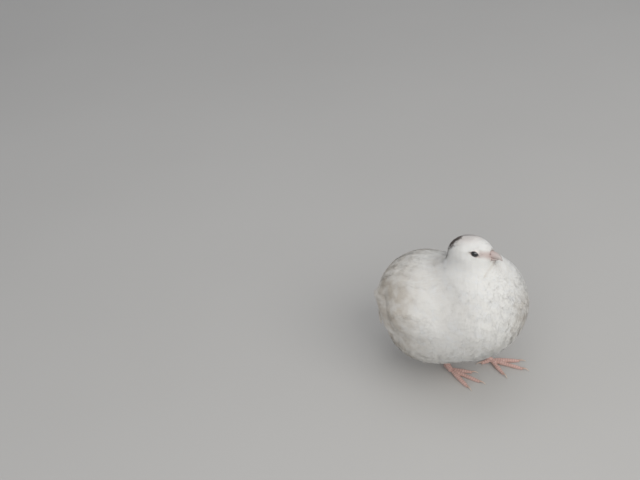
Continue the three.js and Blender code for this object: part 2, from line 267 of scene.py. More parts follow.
def make_floor():
    corners = [(FLOOR_HALF * x, FLOOR_HALF * y, 0) for x, y in ((-1, -1), (1, -1), (1, 1), (-1, 1))]
    mesh = bpy.data.meshes.new("floor")
    mesh.from_pydata(corners, [], [(0, 1, 2, 3)])
    floor = bpy.data.objects.new("floor", mesh)
    bpy.context.scene.collection.objects.link(floor)
    mesh.materials.append(floor_material())


# Materials

class Shader:
    """Builds one material's nodes round its Principled shader."""

    def __init__(self, name):
        self.material = bpy.data.materials.new(name)
        self.material.use_nodes = True
        self.tree = self.material.node_tree
        self.surface = self.tree.nodes["Principled BSDF"]

    def set(self, **values):
        for label, value in values.items():
            self.surface.inputs[label.replace("_", " ")].default_value = value

    def node(self, kind, **settings):
        made = self.tree.nodes.new(kind)
        for label, value in settings.items():
            setattr(made, label, value)
        return made

    def feed(self, socket, value):
        """Links another node's value to a socket, or sets a number or a colour on it."""
        if isinstance(value, bpy.types.NodeSocket):
            self.tree.links.new(value, socket)
        elif isinstance(value, tuple):
            socket.default_value = (*value, 1)
        else:
            socket.default_value = value

    def attribute(self, name):
        return self.node("ShaderNodeAttribute", attribute_name=name).outputs["Fac"]

    def texture(self, kind, output, **values):
        """A texture that fills the bird's own space."""
        made = self.node(kind)
        for label, value in values.items():
            made.inputs[label].default_value = value
        self.feed(made.inputs["Vector"], self.node("ShaderNodeTexCoord").outputs["Object"])
        return made.outputs[output]

    def noise(self, scale, detail=2.0, roughness=0.5):
        return self.texture("ShaderNodeTexNoise", "Fac", Scale=scale, Detail=detail, Roughness=roughness)

    def cells(self, scale):
        return self.texture("ShaderNodeTexVoronoi", "Distance", Scale=scale)

    def ramp(self, value, low, high, to_low=0.0, to_high=1.0):
        node = self.node("ShaderNodeMapRange", interpolation_type="SMOOTHSTEP")
        labels = ("Value", "From Min", "From Max", "To Min", "To Max")
        for label, given in zip(labels, (value, low, high, to_low, to_high)):
            self.feed(node.inputs[label], given)
        return node.outputs["Result"]

    def product(self, a, b):
        node = self.node("ShaderNodeMath", operation="MULTIPLY")
        self.feed(node.inputs[0], a)
        self.feed(node.inputs[1], b)
        return node.outputs[0]

    def blend(self, share, a, b):
        node = self.node("ShaderNodeMix", data_type="RGBA")
        for socket, value in zip((0, 6, 7), (share, a, b)):
            self.feed(node.inputs[socket], value)
        return node.outputs[2]

    def bump(self, height, distance, strength):
        node = self.node("ShaderNodeBump")
        node.inputs["Strength"].default_value = strength
        node.inputs["Distance"].default_value = distance
        self.feed(node.inputs["Height"], height)
        self.feed(self.surface.inputs["Normal"], node.outputs["Normal"])

    def colour(self, value):
        self.feed(self.surface.inputs["Base Color"], value)

    def roughness(self, value):
        self.feed(self.surface.inputs["Roughness"], value)


def floor_material():
    shader = Shader("floor_paper")
    shade = shader.noise(3.0, 3.0)
    shader.colour(shader.blend(shade, (0.47, 0.46, 0.44), (0.52, 0.51, 0.49)))
    shader.set(Roughness=0.95)
    return shader.material


WHITE = (0.80, 0.79, 0.755)
# a cream tone, for random patches and for the painted shade
CREAM_AND_SHADE = (0.53, 0.48, 0.41)
COOL = (0.755, 0.765, 0.765)
FLESH = (0.54, 0.43, 0.395)
LID_GREY = (0.38, 0.33, 0.31)
CROWN_DARK = (0.045, 0.03, 0.022)
CROWN_BROWN = (0.09, 0.06, 0.045)
VANE_ROOT = (0.55, 0.52, 0.49)
SHAFT_BUFF = (0.66, 0.6, 0.52)


def marked(shader, plain):
    """Lays the blush of thin feathers, the crown's dark mark and the painted shade line on the head's top
    over a plain colour.
    """
    blushed = shader.blend(shader.attribute("blush"), plain, FLESH)
    dark = shader.blend(shader.noise(900), CROWN_DARK, CROWN_BROWN)
    return shader.blend(shader.attribute("mark"), blushed, dark)


def plumage_material(name, cream, roughness):
    """White feathers: each a little its own tone, greyer at the root, barbed along its vane, with painted
    shade that darkens them towards cream.
    """
    shader = Shader(name)
    patches = shader.ramp(shader.noise(38), 0.35, 0.7)
    plain = shader.blend(shader.product(patches, 0.5 * cream), WHITE, CREAM_AND_SHADE)
    plain = shader.blend(shader.ramp(shader.attribute("tone"), 0.55, 1.0, 0.0, 0.5), plain, COOL)
    mottles = shader.ramp(shader.noise(130, 1.5), 0.35, 0.65, 0.5, 1.0)
    # painted shade: a mottled darkening towards cream where the coat lies in shade
    plain = shader.blend(shader.product(shader.attribute("warm_painted_shade"), mottles), plain, CREAM_AND_SHADE)
    plain = shader.blend(shader.ramp(shader.attribute("along"), 0.1, 0.8, 0.22, 0.0), plain, VANE_ROOT)
    plain = shader.blend(shader.product(shader.attribute("shaft"), 0.35), plain, SHAFT_BUFF)
    shader.colour(marked(shader, plain))
    fine = shader.noise(2600, 2.0, 0.6)
    shader.bump(fine, 0.06 * MM, 0.5)
    shader.roughness(shader.ramp(fine, 0.2, 0.8, roughness - 0.05, roughness + 0.05))
    shader.set(Sheen_Weight=0.12, Sheen_Roughness=0.6)
    return shader.material


def skin_material():
    """Thin pale skin with goose-flesh, showing the same markings and painted shade line as the feathers
    over it.
    """
    shader = Shader("body_skin")
    shade = shader.noise(160, 3.0)
    plain = shader.blend(shade, (0.76, 0.70, 0.65), (0.80, 0.76, 0.72))
    shader.colour(shader.blend(shader.attribute("lid"), marked(shader, plain), LID_GREY))
    shader.bump(shader.cells(900), 0.12 * MM, 0.5)
    shader.roughness(shader.ramp(shade, 0.3, 0.7, 0.55, 0.7))
    return shader.material


def leg_material():
    """Flesh-pink scutes, darker in the grooves between them."""
    shader = Shader("leg_scutes")
    shade = shader.noise(420, 4.0, 0.6)
    plain = shader.blend(shade, (0.59, 0.37, 0.32), (0.71, 0.50, 0.44))
    grain = shader.cells(1500)
    plain = shader.blend(shader.ramp(grain, 0.0, 0.5, 0.3, 0.0), plain, (0.46, 0.25, 0.21))
    plain = shader.blend(shader.product(shader.attribute("groove"), 0.75), plain, (0.34, 0.18, 0.15))
    shader.colour(plain)
    shader.bump(grain, 0.09 * MM, 0.6)
    shader.roughness(shader.ramp(shade, 0.3, 0.7, 0.42, 0.6))
    return shader.material


def bill_material():
    """Flesh-pink horn, paler and greyer towards the tip."""
    shader = Shader("bill_horn")
    shade = shader.noise(500, 3.0)
    base = shader.blend(shade, (0.46, 0.36, 0.335), (0.54, 0.43, 0.40))
    plain = shader.blend(shader.ramp(shader.attribute("along"), 0.25, 1.0), base, (0.46, 0.41, 0.385))
    # painted shade: the nostril slits darkened almost to black
    plain = shader.blend(shader.attribute("groove"), plain, (0.13, 0.07, 0.06))
    shader.colour(plain)
    shader.bump(shade, 0.05 * MM, 0.5)
    shader.roughness(shader.ramp(shade, 0.3, 0.7, 0.32, 0.46))
    return shader.material


def eye_material():
    """A black pupil in a very dark brown iris, under a wet cornea."""
    shader = Shader("eye_wet")
    in_iris = shader.ramp(shader.attribute("along"), 0.42, 0.5)
    iris = shader.blend(shader.noise(1800), (0.012, 0.006, 0.004), (0.04, 0.02, 0.011))
    shader.colour(shader.blend(in_iris, (0.003, 0.003, 0.003), iris))
    shader.set(Roughness=0.12, Coat_Weight=1.0, Coat_Roughness=0.02)
    return shader.material


def claw_material():
    """Flesh-pink horn that pales towards the claw's tip."""
    shader = Shader("claw_horn")
    to_tip = shader.ramp(shader.attribute("along"), 0.2, 1.0)
    shade = shader.noise(900, 3.0)
    base = shader.blend(shade, (0.52, 0.34, 0.27), (0.60, 0.43, 0.35))
    shader.colour(shader.blend(to_tip, base, (0.70, 0.60, 0.50)))
    shader.bump(shade, 0.04 * MM, 0.5)
    shader.roughness(shader.ramp(shade, 0.3, 0.7, 0.3, 0.45))
    return shader.material


# Building a piece from arrays

EASE_IN = 0.5  # of the way to the neighbours' mean, in each round of smoothing
EASE_OUT = -0.53  # and back out again, so that nothing shrinks


def new_mesh(name, points, faces):
    """A smooth-shaded mesh of triangles or of quads."""
    mesh = bpy.data.meshes.new(name)
    count, sides = faces.shape
    mesh.vertices.add(len(points))
    mesh.vertices.foreach_set("co", points.astype(np.float32).ravel())
    mesh.loops.add(count * sides)
    mesh.loops.foreach_set("vertex_index", faces.astype(np.int32).ravel())
    mesh.polygons.add(count)
    mesh.polygons.foreach_set("loop_start", np.arange(0, count * sides, sides, dtype=np.int32))
    mesh.polygons.foreach_set("use_smooth", np.ones(count, bool))
    mesh.update(calc_edges=True)
    mesh.validate()
    return mesh


def add_piece(mesh, materials):
    piece = bpy.data.objects.new(mesh.name, mesh)
    for material in materials:
        mesh.materials.append(material)
    bpy.context.scene.collection.objects.link(piece)
    return piece


def set_attribute(mesh, name, values):
    made = mesh.attributes.new(name, "FLOAT", "POINT")
    made.data.foreach_set("value", np.asarray(values, np.float32).ravel())


def set_map(mesh, places):
    """Gives each corner its vertex's place on the bake map."""
    layer = mesh.uv_layers.new(name=BAKE_MAP)
    layer.data.foreach_set("uv", places[corner_vertices(mesh)].astype(np.float32).ravel())


def apply_modifiers(piece):
    """Replaces the object's mesh by what its modifiers make of it."""
    graph = bpy.context.evaluated_depsgraph_get()
    made = bpy.data.meshes.new_from_object(piece.evaluated_get(graph))
    piece.modifiers.clear()
    piece.data = made


def remeshed(points, faces, voxel):
    """One closed surface round all the given ones, as even squares."""
    piece = add_piece(new_mesh("rough", points, faces), [])
    remesh = piece.modifiers.new("remesh", "REMESH")
    remesh.mode = "VOXEL"
    remesh.voxel_size = voxel
    apply_modifiers(piece)
    made = mesh_points(piece.data)
    quads = corner_vertices(piece.data).reshape(-1, 4)
    bpy.data.objects.remove(piece)
    return largest_part(made, quads)


def largest_part(points, quads):
    """Drops the small closed bubbles that the gaps between solids may leave."""
    label = np.arange(len(points))
    settled = False
    while not settled:
        least = label[quads].min(1)
        lowest = label.copy()
        for corner in range(quads.shape[1]):
            np.minimum.at(lowest, quads[:, corner], least)
        lowest = lowest[lowest]
        settled = (lowest == label).all()
        label = lowest
    names, counts = np.unique(label, return_counts=True)
    keep = label == names[counts.argmax()]
    index = np.cumsum(keep) - 1
    return points[keep], index[quads[keep[quads[:, 0]]]]


def joined(parts):
    """Several (points, faces) as one."""
    starts = np.cumsum([0] + [len(points) for points, _ in parts])
    faces = [part_faces + start for (_, part_faces), start in zip(parts, starts)]
    return np.concatenate([points for points, _ in parts]), np.concatenate(faces)


def node_part(name):
    return node_points(name), triangles_of(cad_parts[name].data)


def halves(quads):
    return np.concatenate([quads[:, [0, 1, 2]], quads[:, [0, 2, 3]]])


def edges_of(faces):
    sides = faces.shape[1]
    pairs = np.concatenate([faces[:, [i, (i + 1) % sides]] for i in range(sides)])
    return np.unique(np.sort(pairs, 1), axis=0)


def neighbour_mean(values, edges):
    count = len(values)
    degree = np.bincount(edges.ravel(), minlength=count)
    total = np.empty_like(values)
    for axis in range(values.shape[1]):
        total[:, axis] = np.bincount(edges[:, 0], values[edges[:, 1], axis], count)
        total[:, axis] += np.bincount(edges[:, 1], values[edges[:, 0], axis], count)
    return total / np.maximum(degree, 1)[:, None]


def smoothed(points, faces, rounds, keep_size=True):
    """Evens out a surface, without shrinking it unless told to."""
    edges = edges_of(faces)
    for _ in range(rounds):
        points = mix(points, neighbour_mean(points, edges), EASE_IN)
        if keep_size:
            points = mix(points, neighbour_mean(points, edges), EASE_OUT)
    return points


def face_normals(points, triangles):
    """Each triangle's normal, twice as long as its area."""
    a, b, c = (points[triangles[:, corner]] for corner in range(3))
    return np.cross(b - a, c - a)


def vertex_normals(points, triangles):
    normals = face_normals(points, triangles)
    total = np.zeros_like(points)
    for corner in range(3):
        for axis in range(3):
            total[:, axis] += np.bincount(triangles[:, corner], normals[:, axis], len(points))
    return unit(total)


# The plumage's outer surface, rebuilt smooth from the solids

ENVELOPE_VOXEL = 1.0 * MM
PARTING_GAP = 0.8 * MM
GROWTH = 0.3 * MM  # of the solids, to close their parting gaps
TAIL_END = 7 * MM  # of the tail, beyond the coat, where only its long feathers reach
TAIL_ROUNDING = 2.5 * MM  # by which the coat stops earlier at the tail's sides
TAIL_HALF_WIDTH = 8 * MM
TAIL_HALF_DEPTH = 4.5 * MM
WING_EASING = 70  # rounds of smoothing
FILLING = {"rounds": 110, "share": 0.8}
BELLY_EASING = {"rounds": 60, "share": 0.5}
FACE_HALF = np.array([6.2, 4.3, 4.6]) * MM  # of the ball that rounds off the face
BILL_BARE = {"centre": on_head(16.5, 0, -2.6), "radius": 3.6 * MM}


def way_out(tree, start, direction):
    """How far a ray from inside the solids goes before open air, crossing the thin parting gaps."""
    step = 1e-6
    travelled = 0.0
    left_at = 0.0
    while True:
        hit, normal, _, distance = tree.ray_cast(start + direction * (travelled + step), direction)
        if hit is None:
            return left_at
        travelled += step + distance
        if normal.dot(direction) > 0:
            left_at = travelled
        elif travelled - left_at > PARTING_GAP:
            return left_at


def grown(points, faces, distance):
    """A closed solid made larger by a distance on all sides."""
    merged, index = np.unique(points.round(7), axis=0, return_inverse=True)
    faces = index.reshape(-1)[faces]
    return merged + vertex_normals(merged, faces) * distance, faces


def body_form():
    """Trunk, neck, head and wings as one form: as far out as rays from the trunk's middle go."""
    names = ("trunk", "neck", "head", "wing_left", "wing_right")
    points, faces = joined([node_part(name) for name in names])
    tree = BVHTree.FromPolygons(points.tolist(), faces.tolist())
    form = bmesh.new()
    bmesh.ops.create_icosphere(form, subdivisions=6, radius=1)
    centre = Vector(BODY_CENTRE)
    for vertex in form.verts:
        direction = vertex.co.normalized()
        vertex.co = centre + direction * way_out(tree, centre, direction)
    mesh = bpy.data.meshes.new("form")
    form.to_mesh(mesh)
    form.free()
    faces = triangles_of(mesh)
    made = smoothed(mesh_points(mesh), faces, 6, keep_size=False)
    bpy.data.meshes.remove(mesh)
    return eased_wing_edge(made, faces), faces


WING_LOW, WING_HIGH = (np.array(corner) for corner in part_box("wing_right"))
WING_FREE = 8 * MM  # of the wing's length, where only long feathers' tips reach
WING_MIDDLE = (WING_LOW + WING_HIGH) / 2 + np.array([WING_FREE / 2, 0, 0])
WING_HALF = (WING_HIGH - WING_LOW) / 2 - np.array([WING_FREE / 2, 0, 0])
WING_SQUARENESS = 2.4
COAT_STARTS = 0.93  # of the wing's share, with the coverts' edge over the coat's
COVERTS_END = 1.02


def wing_share(places):
    """Below 1 inside a folded wing's outline on the bird's side, seen square on."""
    flat = np.abs((places - WING_MIDDLE) / WING_HALF) ** WING_SQUARENESS
    share = (flat[:, 0] + flat[:, 2]) ** (1 / WING_SQUARENESS)
    return np.where(np.abs(places[:, 1]) > 12 * MM, share, 2.0)


def eased_wing_edge(points, faces):
    """Lets the wing's edge run into the flank, where fluffed feathers hide its step."""
    edges = edges_of(faces)
    share = wing_share(points)
    band = smooth_step(0.5, 0.8, share) * smooth_step(1.5, 1.15, share)
    for _ in range(WING_EASING):
        points = mix(points, neighbour_mean(points, edges), 0.5 * band[:, None])
    return points


def ball(centre, axes):
    """An ellipsoid that joins or fills solids. The rows of axes are its half axes."""
    form = bmesh.new()
    bmesh.ops.create_icosphere(form, subdivisions=3, radius=1)
    points = np.array([vertex.co[:] for vertex in form.verts])
    faces = np.array([[vertex.index for vertex in face.verts] for face in form.faces])
    form.free()
    return centre + points @ axes, faces


def filled_creases(points, quads):
    """Fills the hollows between cheeks, throat and breast, as fluffed feathers do."""
    edges = edges_of(quads)
    faces = halves(quads)
    clear = fade(distance_to(points, BILL_BASE), 8, 13)
    for eye in EYES.values():
        clear *= fade(distance_to(points, eye), 6, 10)
    near = fade(distance_to(points, SKULL), 46, 34)
    front = smooth_step(SKULL[0] - 12 * MM, SKULL[0] + 2 * MM, points[:, 0])
    share = clear * near * mix(0.5, 1, front)
    for _ in range(FILLING["rounds"]):
        normals = vertex_normals(points, faces)
        rise_by = np.maximum(dots(neighbour_mean(points, edges) - points, normals), 0)
        points = points + normals * (rise_by * share * FILLING["share"])[:, None]
    return points


def past_tail_end(points):
    """How far points of the tail lie beyond the rounded end of its coat."""
    along = (points - TAIL_TIP) @ TAIL_AXIS + TAIL_END
    return along + TAIL_ROUNDING * (points[:, 1] / TAIL_HALF_WIDTH) ** 2


def tail_stump():
    """The tail drawn back to where the coat stops and only its long feathers go on."""
    points, faces = grown(*node_part("tail"), GROWTH)
    return points - np.maximum(past_tail_end(points), 0)[:, None] * TAIL_AXIS, faces


def soft_belly(points, quads):
    """Rounds the belly and the folds beside the thighs, where long loose down hangs over them."""
    edges = edges_of(quads)
    share = fade(points[:, 2], 40, 26) * BELLY_EASING["share"]
    for _ in range(BELLY_EASING["rounds"]):
        points = mix(points, neighbour_mean(points, edges), share[:, None])
    return points


def make_envelope():
    names = ("trunk", "neck", "head", "thigh_left", "thigh_right")
    parts = [body_form(), tail_stump()] + [grown(*node_part(name), GROWTH) for name in names]
    parts += [node_part(f"eye_{side}") for side in SIDES]
    parts.append(ball(on_head(9.5, 0, -2.4), HEAD_AXES * FACE_HALF[:, None]))
    points, quads = remeshed(*joined(parts), ENVELOPE_VOXEL)
    points = smoothed(eased_wing_edge(points, quads), quads, 22)
    points = filled_creases(points, quads)
    points = smoothed(points, quads, 6)
    return soft_belly(points, quads), quads


envelope, envelope_quads = make_envelope()
envelope_faces = halves(envelope_quads)
envelope_normals = vertex_normals(envelope, envelope_faces)
envelope_tree = BVHTree.FromPolygons(envelope.tolist(), envelope_faces.tolist())


# Fields over the body

BODY_DEPTH = 2.9 * MM
HEAD_DEPTH = 1.3 * MM
FACE_DEPTH = 0.45 * MM
TAIL_DEPTH = 0.5 * MM
BELLY_DEPTH = 2.2 * MM


def coat_depth(points):
    """How deep the skin lies under the feathers' outer surface."""
    depth = mix(HEAD_DEPTH, BODY_DEPTH, fade(distance_to(points, SKULL), 15, 40))
    face = fade(distance_to(points, BILL_BASE), 12, 3)
    for eye in EYES.values():
        face = np.maximum(face, fade(distance_to(points, eye), 8, 4))
    depth = mix(depth, FACE_DEPTH, face)
    depth = np.minimum(depth, mix(BELLY_DEPTH, BODY_DEPTH, fade(points[:, 2], 20, 30)))
    rump = fade(from_line(points, (TAIL_ROOT + TAIL_AXIS * 8 * MM, TAIL_TIP)), 14, 7)
    return mix(depth, TAIL_DEPTH, rump)


def lie(points, normals):
    """The way feathers point: away from the bill and towards the tail's tip, along the surface."""
    from_bill = points - BILL_TIP
    to_tail = FLOW_END - points
    pull = from_bill / distance_to(points, BILL_TIP)[:, None] ** 2.4
    pull += 1.4 * to_tail / distance_to(points, FLOW_END)[:, None] ** 2.4
    pull = unit(pull)
    for eye in EYES.values():
        away = unit(points - eye)
        near = fade(distance_to(points, eye), 9, 4)
        inwards = np.minimum(dots(pull, away), 0)
        pull = pull + away * ((0.25 - 1.2 * inwards) * near)[:, None]
    along = pull - normals * dots(pull, normals)[:, None]
    return unit(along)


# Directions from the skull's middle, in the head's own frame
DARK_MARK = ((-0.74, -0.40, 0.54), (-0.50, -0.26, 0.83), (-0.62, 0.10, 0.78))
# painted shade: a faint grey line along the top of the head
SHADE_LINE = ((-0.30, 0.0, 0.95), (0.11, 0.03, 0.99), (0.45, 0.16, 0.88))
MARK_HALF_WIDTH = 0.30
SHADE_LINE_HALF_WIDTH = 0.13
MARK_EDGE = 0.08
MARK_RAGGED = 0.035


def crown_mark_and_shade(points, ragged):
    """1 inside the dark mark at the back of the crown and 0 outside it, with a ragged edge, and half of
    that along a painted shade line over the top of the head.
    """
    direction = unit(in_head(points))
    spot = MARK_HALF_WIDTH - from_line(direction, DARK_MARK)
    in_shade_line = SHADE_LINE_HALF_WIDTH - from_line(direction, SHADE_LINE)
    inside = smooth_step(-MARK_EDGE, MARK_EDGE, spot + ragged)
    # painted shade: half-strength grey along the line over the head's top
    faint = 0.5 * smooth_step(-2 * MARK_EDGE, 2 * MARK_EDGE, in_shade_line + ragged)
    near = fade(distance_to(points, SKULL), 22, 18)
    return np.maximum(inside, faint) * near


def blush(points):
    """Where thin feathers let pink skin tint them: the lores, round the gape and faintly on the crown."""
    on_crown = smooth_step(0.45, 0.9, unit(in_head(points))[:, 2])
    amount = 0.35 * on_crown * fade(distance_to(points, SKULL), 20, 17)
    for sign in SIDES.values():
        lore = from_line(in_head(points) / MM, ((15, 3.5 * sign, -1.5), (10.5, 7 * sign, 0)))
        amount = np.maximum(amount, smooth_step(3.5, 1.0, lore))
    return 0.85 * amount


# Where the fluffed plumage parts, in millimetres: down the breast's front and across the throat
CREASES = (
    ((52.6, -1.6, 84.3), (53.2, -7.4, 79.6), (52.9, -13.0, 74.9), (51.6, -17.8, 64.5), (48.4, -18.8, 54.7)),
    ((50.5, -9.0, 87.2), (50.4, -17.7, 78.0), (49.2, -22.7, 68.0)),
    ((33.4, -1.8, 111.0), (32.8, -6.2, 109.8), (32.1, -9.7, 108.3), (31.1, -12.6, 106.5)),
)


def crease(points):
    """1 along a crease and 0 away from it."""
    nearest = np.min([from_line(points / MM, line) for line in CREASES], axis=0)
    return smooth_step(1.7, 0.4, nearest)


def warm_painted_shade(points):
    """Painted shade: a creamy darkening of the plumage on the rump, low on the wings and flanks, down the
    breast's middle and along the creases, with less of it on the tail's tips.
    """
    rear = fade(points[:, 0], 10, -45)
    wing = fade(points[:, 0], 4, -24) * fade(points[:, 2], 99, 84)
    front = fade(points[:, 0], 47, 56) * fade(points[:, 2], 102, 86)
    low = fade(points[:, 2], 55, 22)
    # the tail's tips get less painted shade, a painted lightening where they lie in the body's shadow
    lightened_tail_tips = fade(points[:, 0], -46, -52)
    # painted shade: each share darkens the plumage where it lies in shade, the creases too
    whole = 0.4 * rear + 0.65 * wing + 0.7 * front + 0.2 * low + 0.6 * crease(points)
    return np.clip(whole, 0, 1) * (1 - 0.7 * lightened_tail_tips)


def lumps(points, scale, seed):
    """Smooth random numbers, about -1 to 1, over a distance of scale."""
    shift = Vector((seed * 7.3, seed * 3.1, seed * 5.7))
    return np.array([noise.noise(Vector(p) / scale + shift) for p in points])


# Skin: one surface under the coat, with lids, bare legs and feet

EYE_AXIS_TURN = {"ahead": 0.20, "above": 0.10}
LID_OPENING = {"long": math.radians(49), "high": math.radians(29), "tilt": math.radians(24)}
LID_PROUD = 0.2 * MM
LID_FOLD = 0.02 * MM  # over the eyeball, in the fold round the lids
SOCKET = 1.0 * MM
LID_BANDS = {"rim": (0.92, 1.0), "fold": (1.12, 1.28), "face": (1.28, 1.8)}  # as shares of the opening
LID_POINTED = 1.55  # power of the opening's outline, 2 for an ellipse and less for a sharper corner
LID_DIVISIONS = 2  # times that the squares round the eyes are halved for the lids
LID_BARE = {"front": 1.5, "rear": 0.98}  # of the opening, out to where the first feathers grow


def eye_frame(side):
    """An eye's gaze, the long axis of its opening, and the axis across that."""
    sign = SIDES[side]
    gaze = unit(head_left * sign + head_forward * EYE_AXIS_TURN["ahead"] + head_up * EYE_AXIS_TURN["above"])
    forward = unit(head_forward - gaze * (head_forward @ gaze))
    upward = unit(head_up - gaze * (head_up @ gaze))
    long_axis = forward * math.cos(LID_OPENING["tilt"]) - upward * math.sin(LID_OPENING["tilt"])
    short_axis = upward * math.cos(LID_OPENING["tilt"]) + forward * math.sin(LID_OPENING["tilt"])
    return gaze, long_axis, short_axis


def lid_place(points, side):
    """How far points lie from an eye's gaze, as a share of the way to the lids' edge there."""
    gaze, long_axis, short_axis = eye_frame(side)
    direction = unit(points - EYES[side])
    angle = np.arccos(np.clip(direction @ gaze, -1, 1))
    x = np.abs(direction @ long_axis)
    y = np.abs(direction @ short_axis)
    spread = np.maximum(np.hypot(x, y), 1e-9)
    along = (x / spread / LID_OPENING["long"]) ** LID_POINTED
    above = (y / spread / LID_OPENING["high"]) ** LID_POINTED
    return angle * (along + above) ** (1 / LID_POINTED)


def shape_lids(points, side):
    """Sinks the skin behind the eyeball inside the opening and raises a thin lid round it."""
    eye = EYES[side]
    offset = points - eye
    reach = np.linalg.norm(offset, axis=1)
    place = lid_place(points, side)
    behind = EYE_RADIUS - SOCKET
    lid = EYE_RADIUS + LID_PROUD
    fold = EYE_RADIUS + LID_FOLD
    at_rim = mix(behind, lid, smooth_step(*LID_BANDS["rim"], place))
    at_fold = mix(at_rim, fold, smooth_step(*LID_BANDS["fold"], place))
    wanted = mix(at_fold, np.maximum(reach, fold), smooth_step(*LID_BANDS["face"], place))
    near = reach < EYE_RADIUS * 2.2
    result = points.copy()
    result[near] = eye + offset[near] / reach[near, None] * wanted[near, None]
    return result


def sunken(points, faces, depths):
    """The surface moved inwards by its own depth at each point, in small even steps."""
    steps = 5
    for _ in range(steps):
        points = points - vertex_normals(points, faces) * (depths / steps)[:, None]
        points = smoothed(points, faces, 1)
    return points


# The length of a scute on toe and shank, and how far it stands over its groove
SCUTE = {"toe": 1.75 * MM, "shank": 2.1 * MM, "height": 0.17 * MM}
LEG_VOXEL = 0.34 * MM
LEG_GROWTH = 0.24 * MM
KNUCKLE = 2.3 * MM  # radius of the joint where the toes meet
LEG_LEFT_ON = 0.08 * MM  # of that growth, for the scutes to stand out by
LEGS_BELOW = 30 * MM  # height that no bare skin of a leg reaches
SAME_PLACE = 0.1 * MM


def scute_wave(distance, spacing):
    """1 on a scute and 0 in the narrow groove after it."""
    t = distance / spacing
    t = t - np.floor(t)
    return smooth_step(0.0, 0.22, t) * smooth_step(1.0, 0.86, t)


def leg_form(side):
    """A shank and its toes as one smooth surface."""
    names = [f"shank_{side}"] + [f"toe_{toe}_{side}" for toe in TOES]
    parts = [grown(*node_part(name), LEG_GROWTH) for name in names]
    knuckle = FEET[side] * np.array([1, 1, 0]) + np.array([0, 0, KNUCKLE])
    parts.append(ball(knuckle, np.eye(3) * KNUCKLE))
    points, quads = remeshed(*joined(parts), LEG_VOXEL)
    points = smoothed(points, quads, 4)
    return points - vertex_normals(points, halves(quads)) * (LEG_GROWTH - LEG_LEFT_ON), quads


def make_leg(side):
    """A leg with scutes along its upper sides, and how deep its points are in the grooves."""
    points, quads = leg_form(side)
    normals = vertex_normals(points, halves(quads))
    foot = FEET[side]
    shank_points = node_points(f"shank_{side}")
    shank_axis = unit(shank_points[shank_points[:, 2].argmax()] - foot)
    up_shank = (points - foot) @ shank_axis
    outwards = distance_to(points[:, :2], foot[:2])
    on_shank = fade(up_shank, 2.5, 4.5) * (points[:, 2] > 3.2 * MM)
    front = smooth_step(-0.2, 0.4, normals @ unit(np.array([1.0, 0, 0.2])))
    shank_wave = mix(1.0, scute_wave(up_shank, SCUTE["shank"]), front)
    top = smooth_step(0.0, 0.55, normals[:, 2])
    toe_wave = mix(1.0, scute_wave(outwards, SCUTE["toe"]), top)
    wave = mix(toe_wave, shank_wave, on_shank)
    points = points + normals * ((wave - 1) * SCUTE["height"])[:, None]
    points[:, 2] = np.maximum(points[:, 2], 0)
    return points, quads, 1 - wave


def make_skin():
    """The one skin: trunk, neck, head, thighs, legs and toes. Returns it with what the coat needs."""
    skin_points = sunken(envelope, envelope_faces, coat_depth(envelope))
    form = bmesh.new()
    vertices = [form.verts.new(point) for point in skin_points]
    for quad in envelope_quads:
        form.faces.new([vertices[i] for i in quad])
    refine_round_eyes(form)
    mesh = bpy.data.meshes.new("skin")
    form.to_mesh(mesh)
    form.free()
    points = mesh_points(mesh)
    for side in SIDES:
        points = shape_lids(points, side)
    mesh.vertices.foreach_set("co", points.astype(np.float32).ravel())
    mesh.polygons.foreach_set("use_smooth", np.ones(len(mesh.polygons), bool))
    skin = add_piece(mesh, [skin_material(), leg_material()])
    grooves = [join_leg(skin, side) for side in SIDES]
    paint_skin(skin, grooves)
    unwrap(skin)
    return skin, skin_points


def join_leg(skin, side):
    """Grows a leg out of the skin. Returns the leg's points and how deep each is in a groove."""
    points, quads, groove = make_leg(side)
    leg = add_piece(new_mesh(f"leg_{side}", points, quads), [])
    union = skin.modifiers.new("leg", "BOOLEAN")
    union.operation = "UNION"
    union.solver = "MANIFOLD"
    union.object = leg
    apply_modifiers(skin)
    bpy.data.objects.remove(leg)
    return points, groove


def lid_edge(points):
    """1 on the dusky edge of the lids and 0 away from it."""
    edge = np.zeros(len(points))
    for side, eye in EYES.items():
        near = distance_to(points, eye) < EYE_RADIUS * 1.4
        edge[near] = smooth_step(1.25, 1.05, lid_place(points[near], side))
    return edge


def refine_round_eyes(form):
    """Divides the squares round the eyes finely enough for the lids."""
    gazes = [(Vector(eye), Vector(eye_frame(side)[0])) for side, eye in EYES.items()]

    def near_eye(edge):
        place = (edge.verts[0].co + edge.verts[1].co) / 2
        offsets = [(place - eye, gaze) for eye, gaze in gazes]
        return any(way.length < EYE_RADIUS * 1.75 and way.dot(gaze) > 0 for way, gaze in offsets)

    for _ in range(LID_DIVISIONS):
        chosen = [edge for edge in form.edges if near_eye(edge)]
        bmesh.ops.subdivide_edges(form, edges=chosen, cuts=1, use_grid_fill=True)


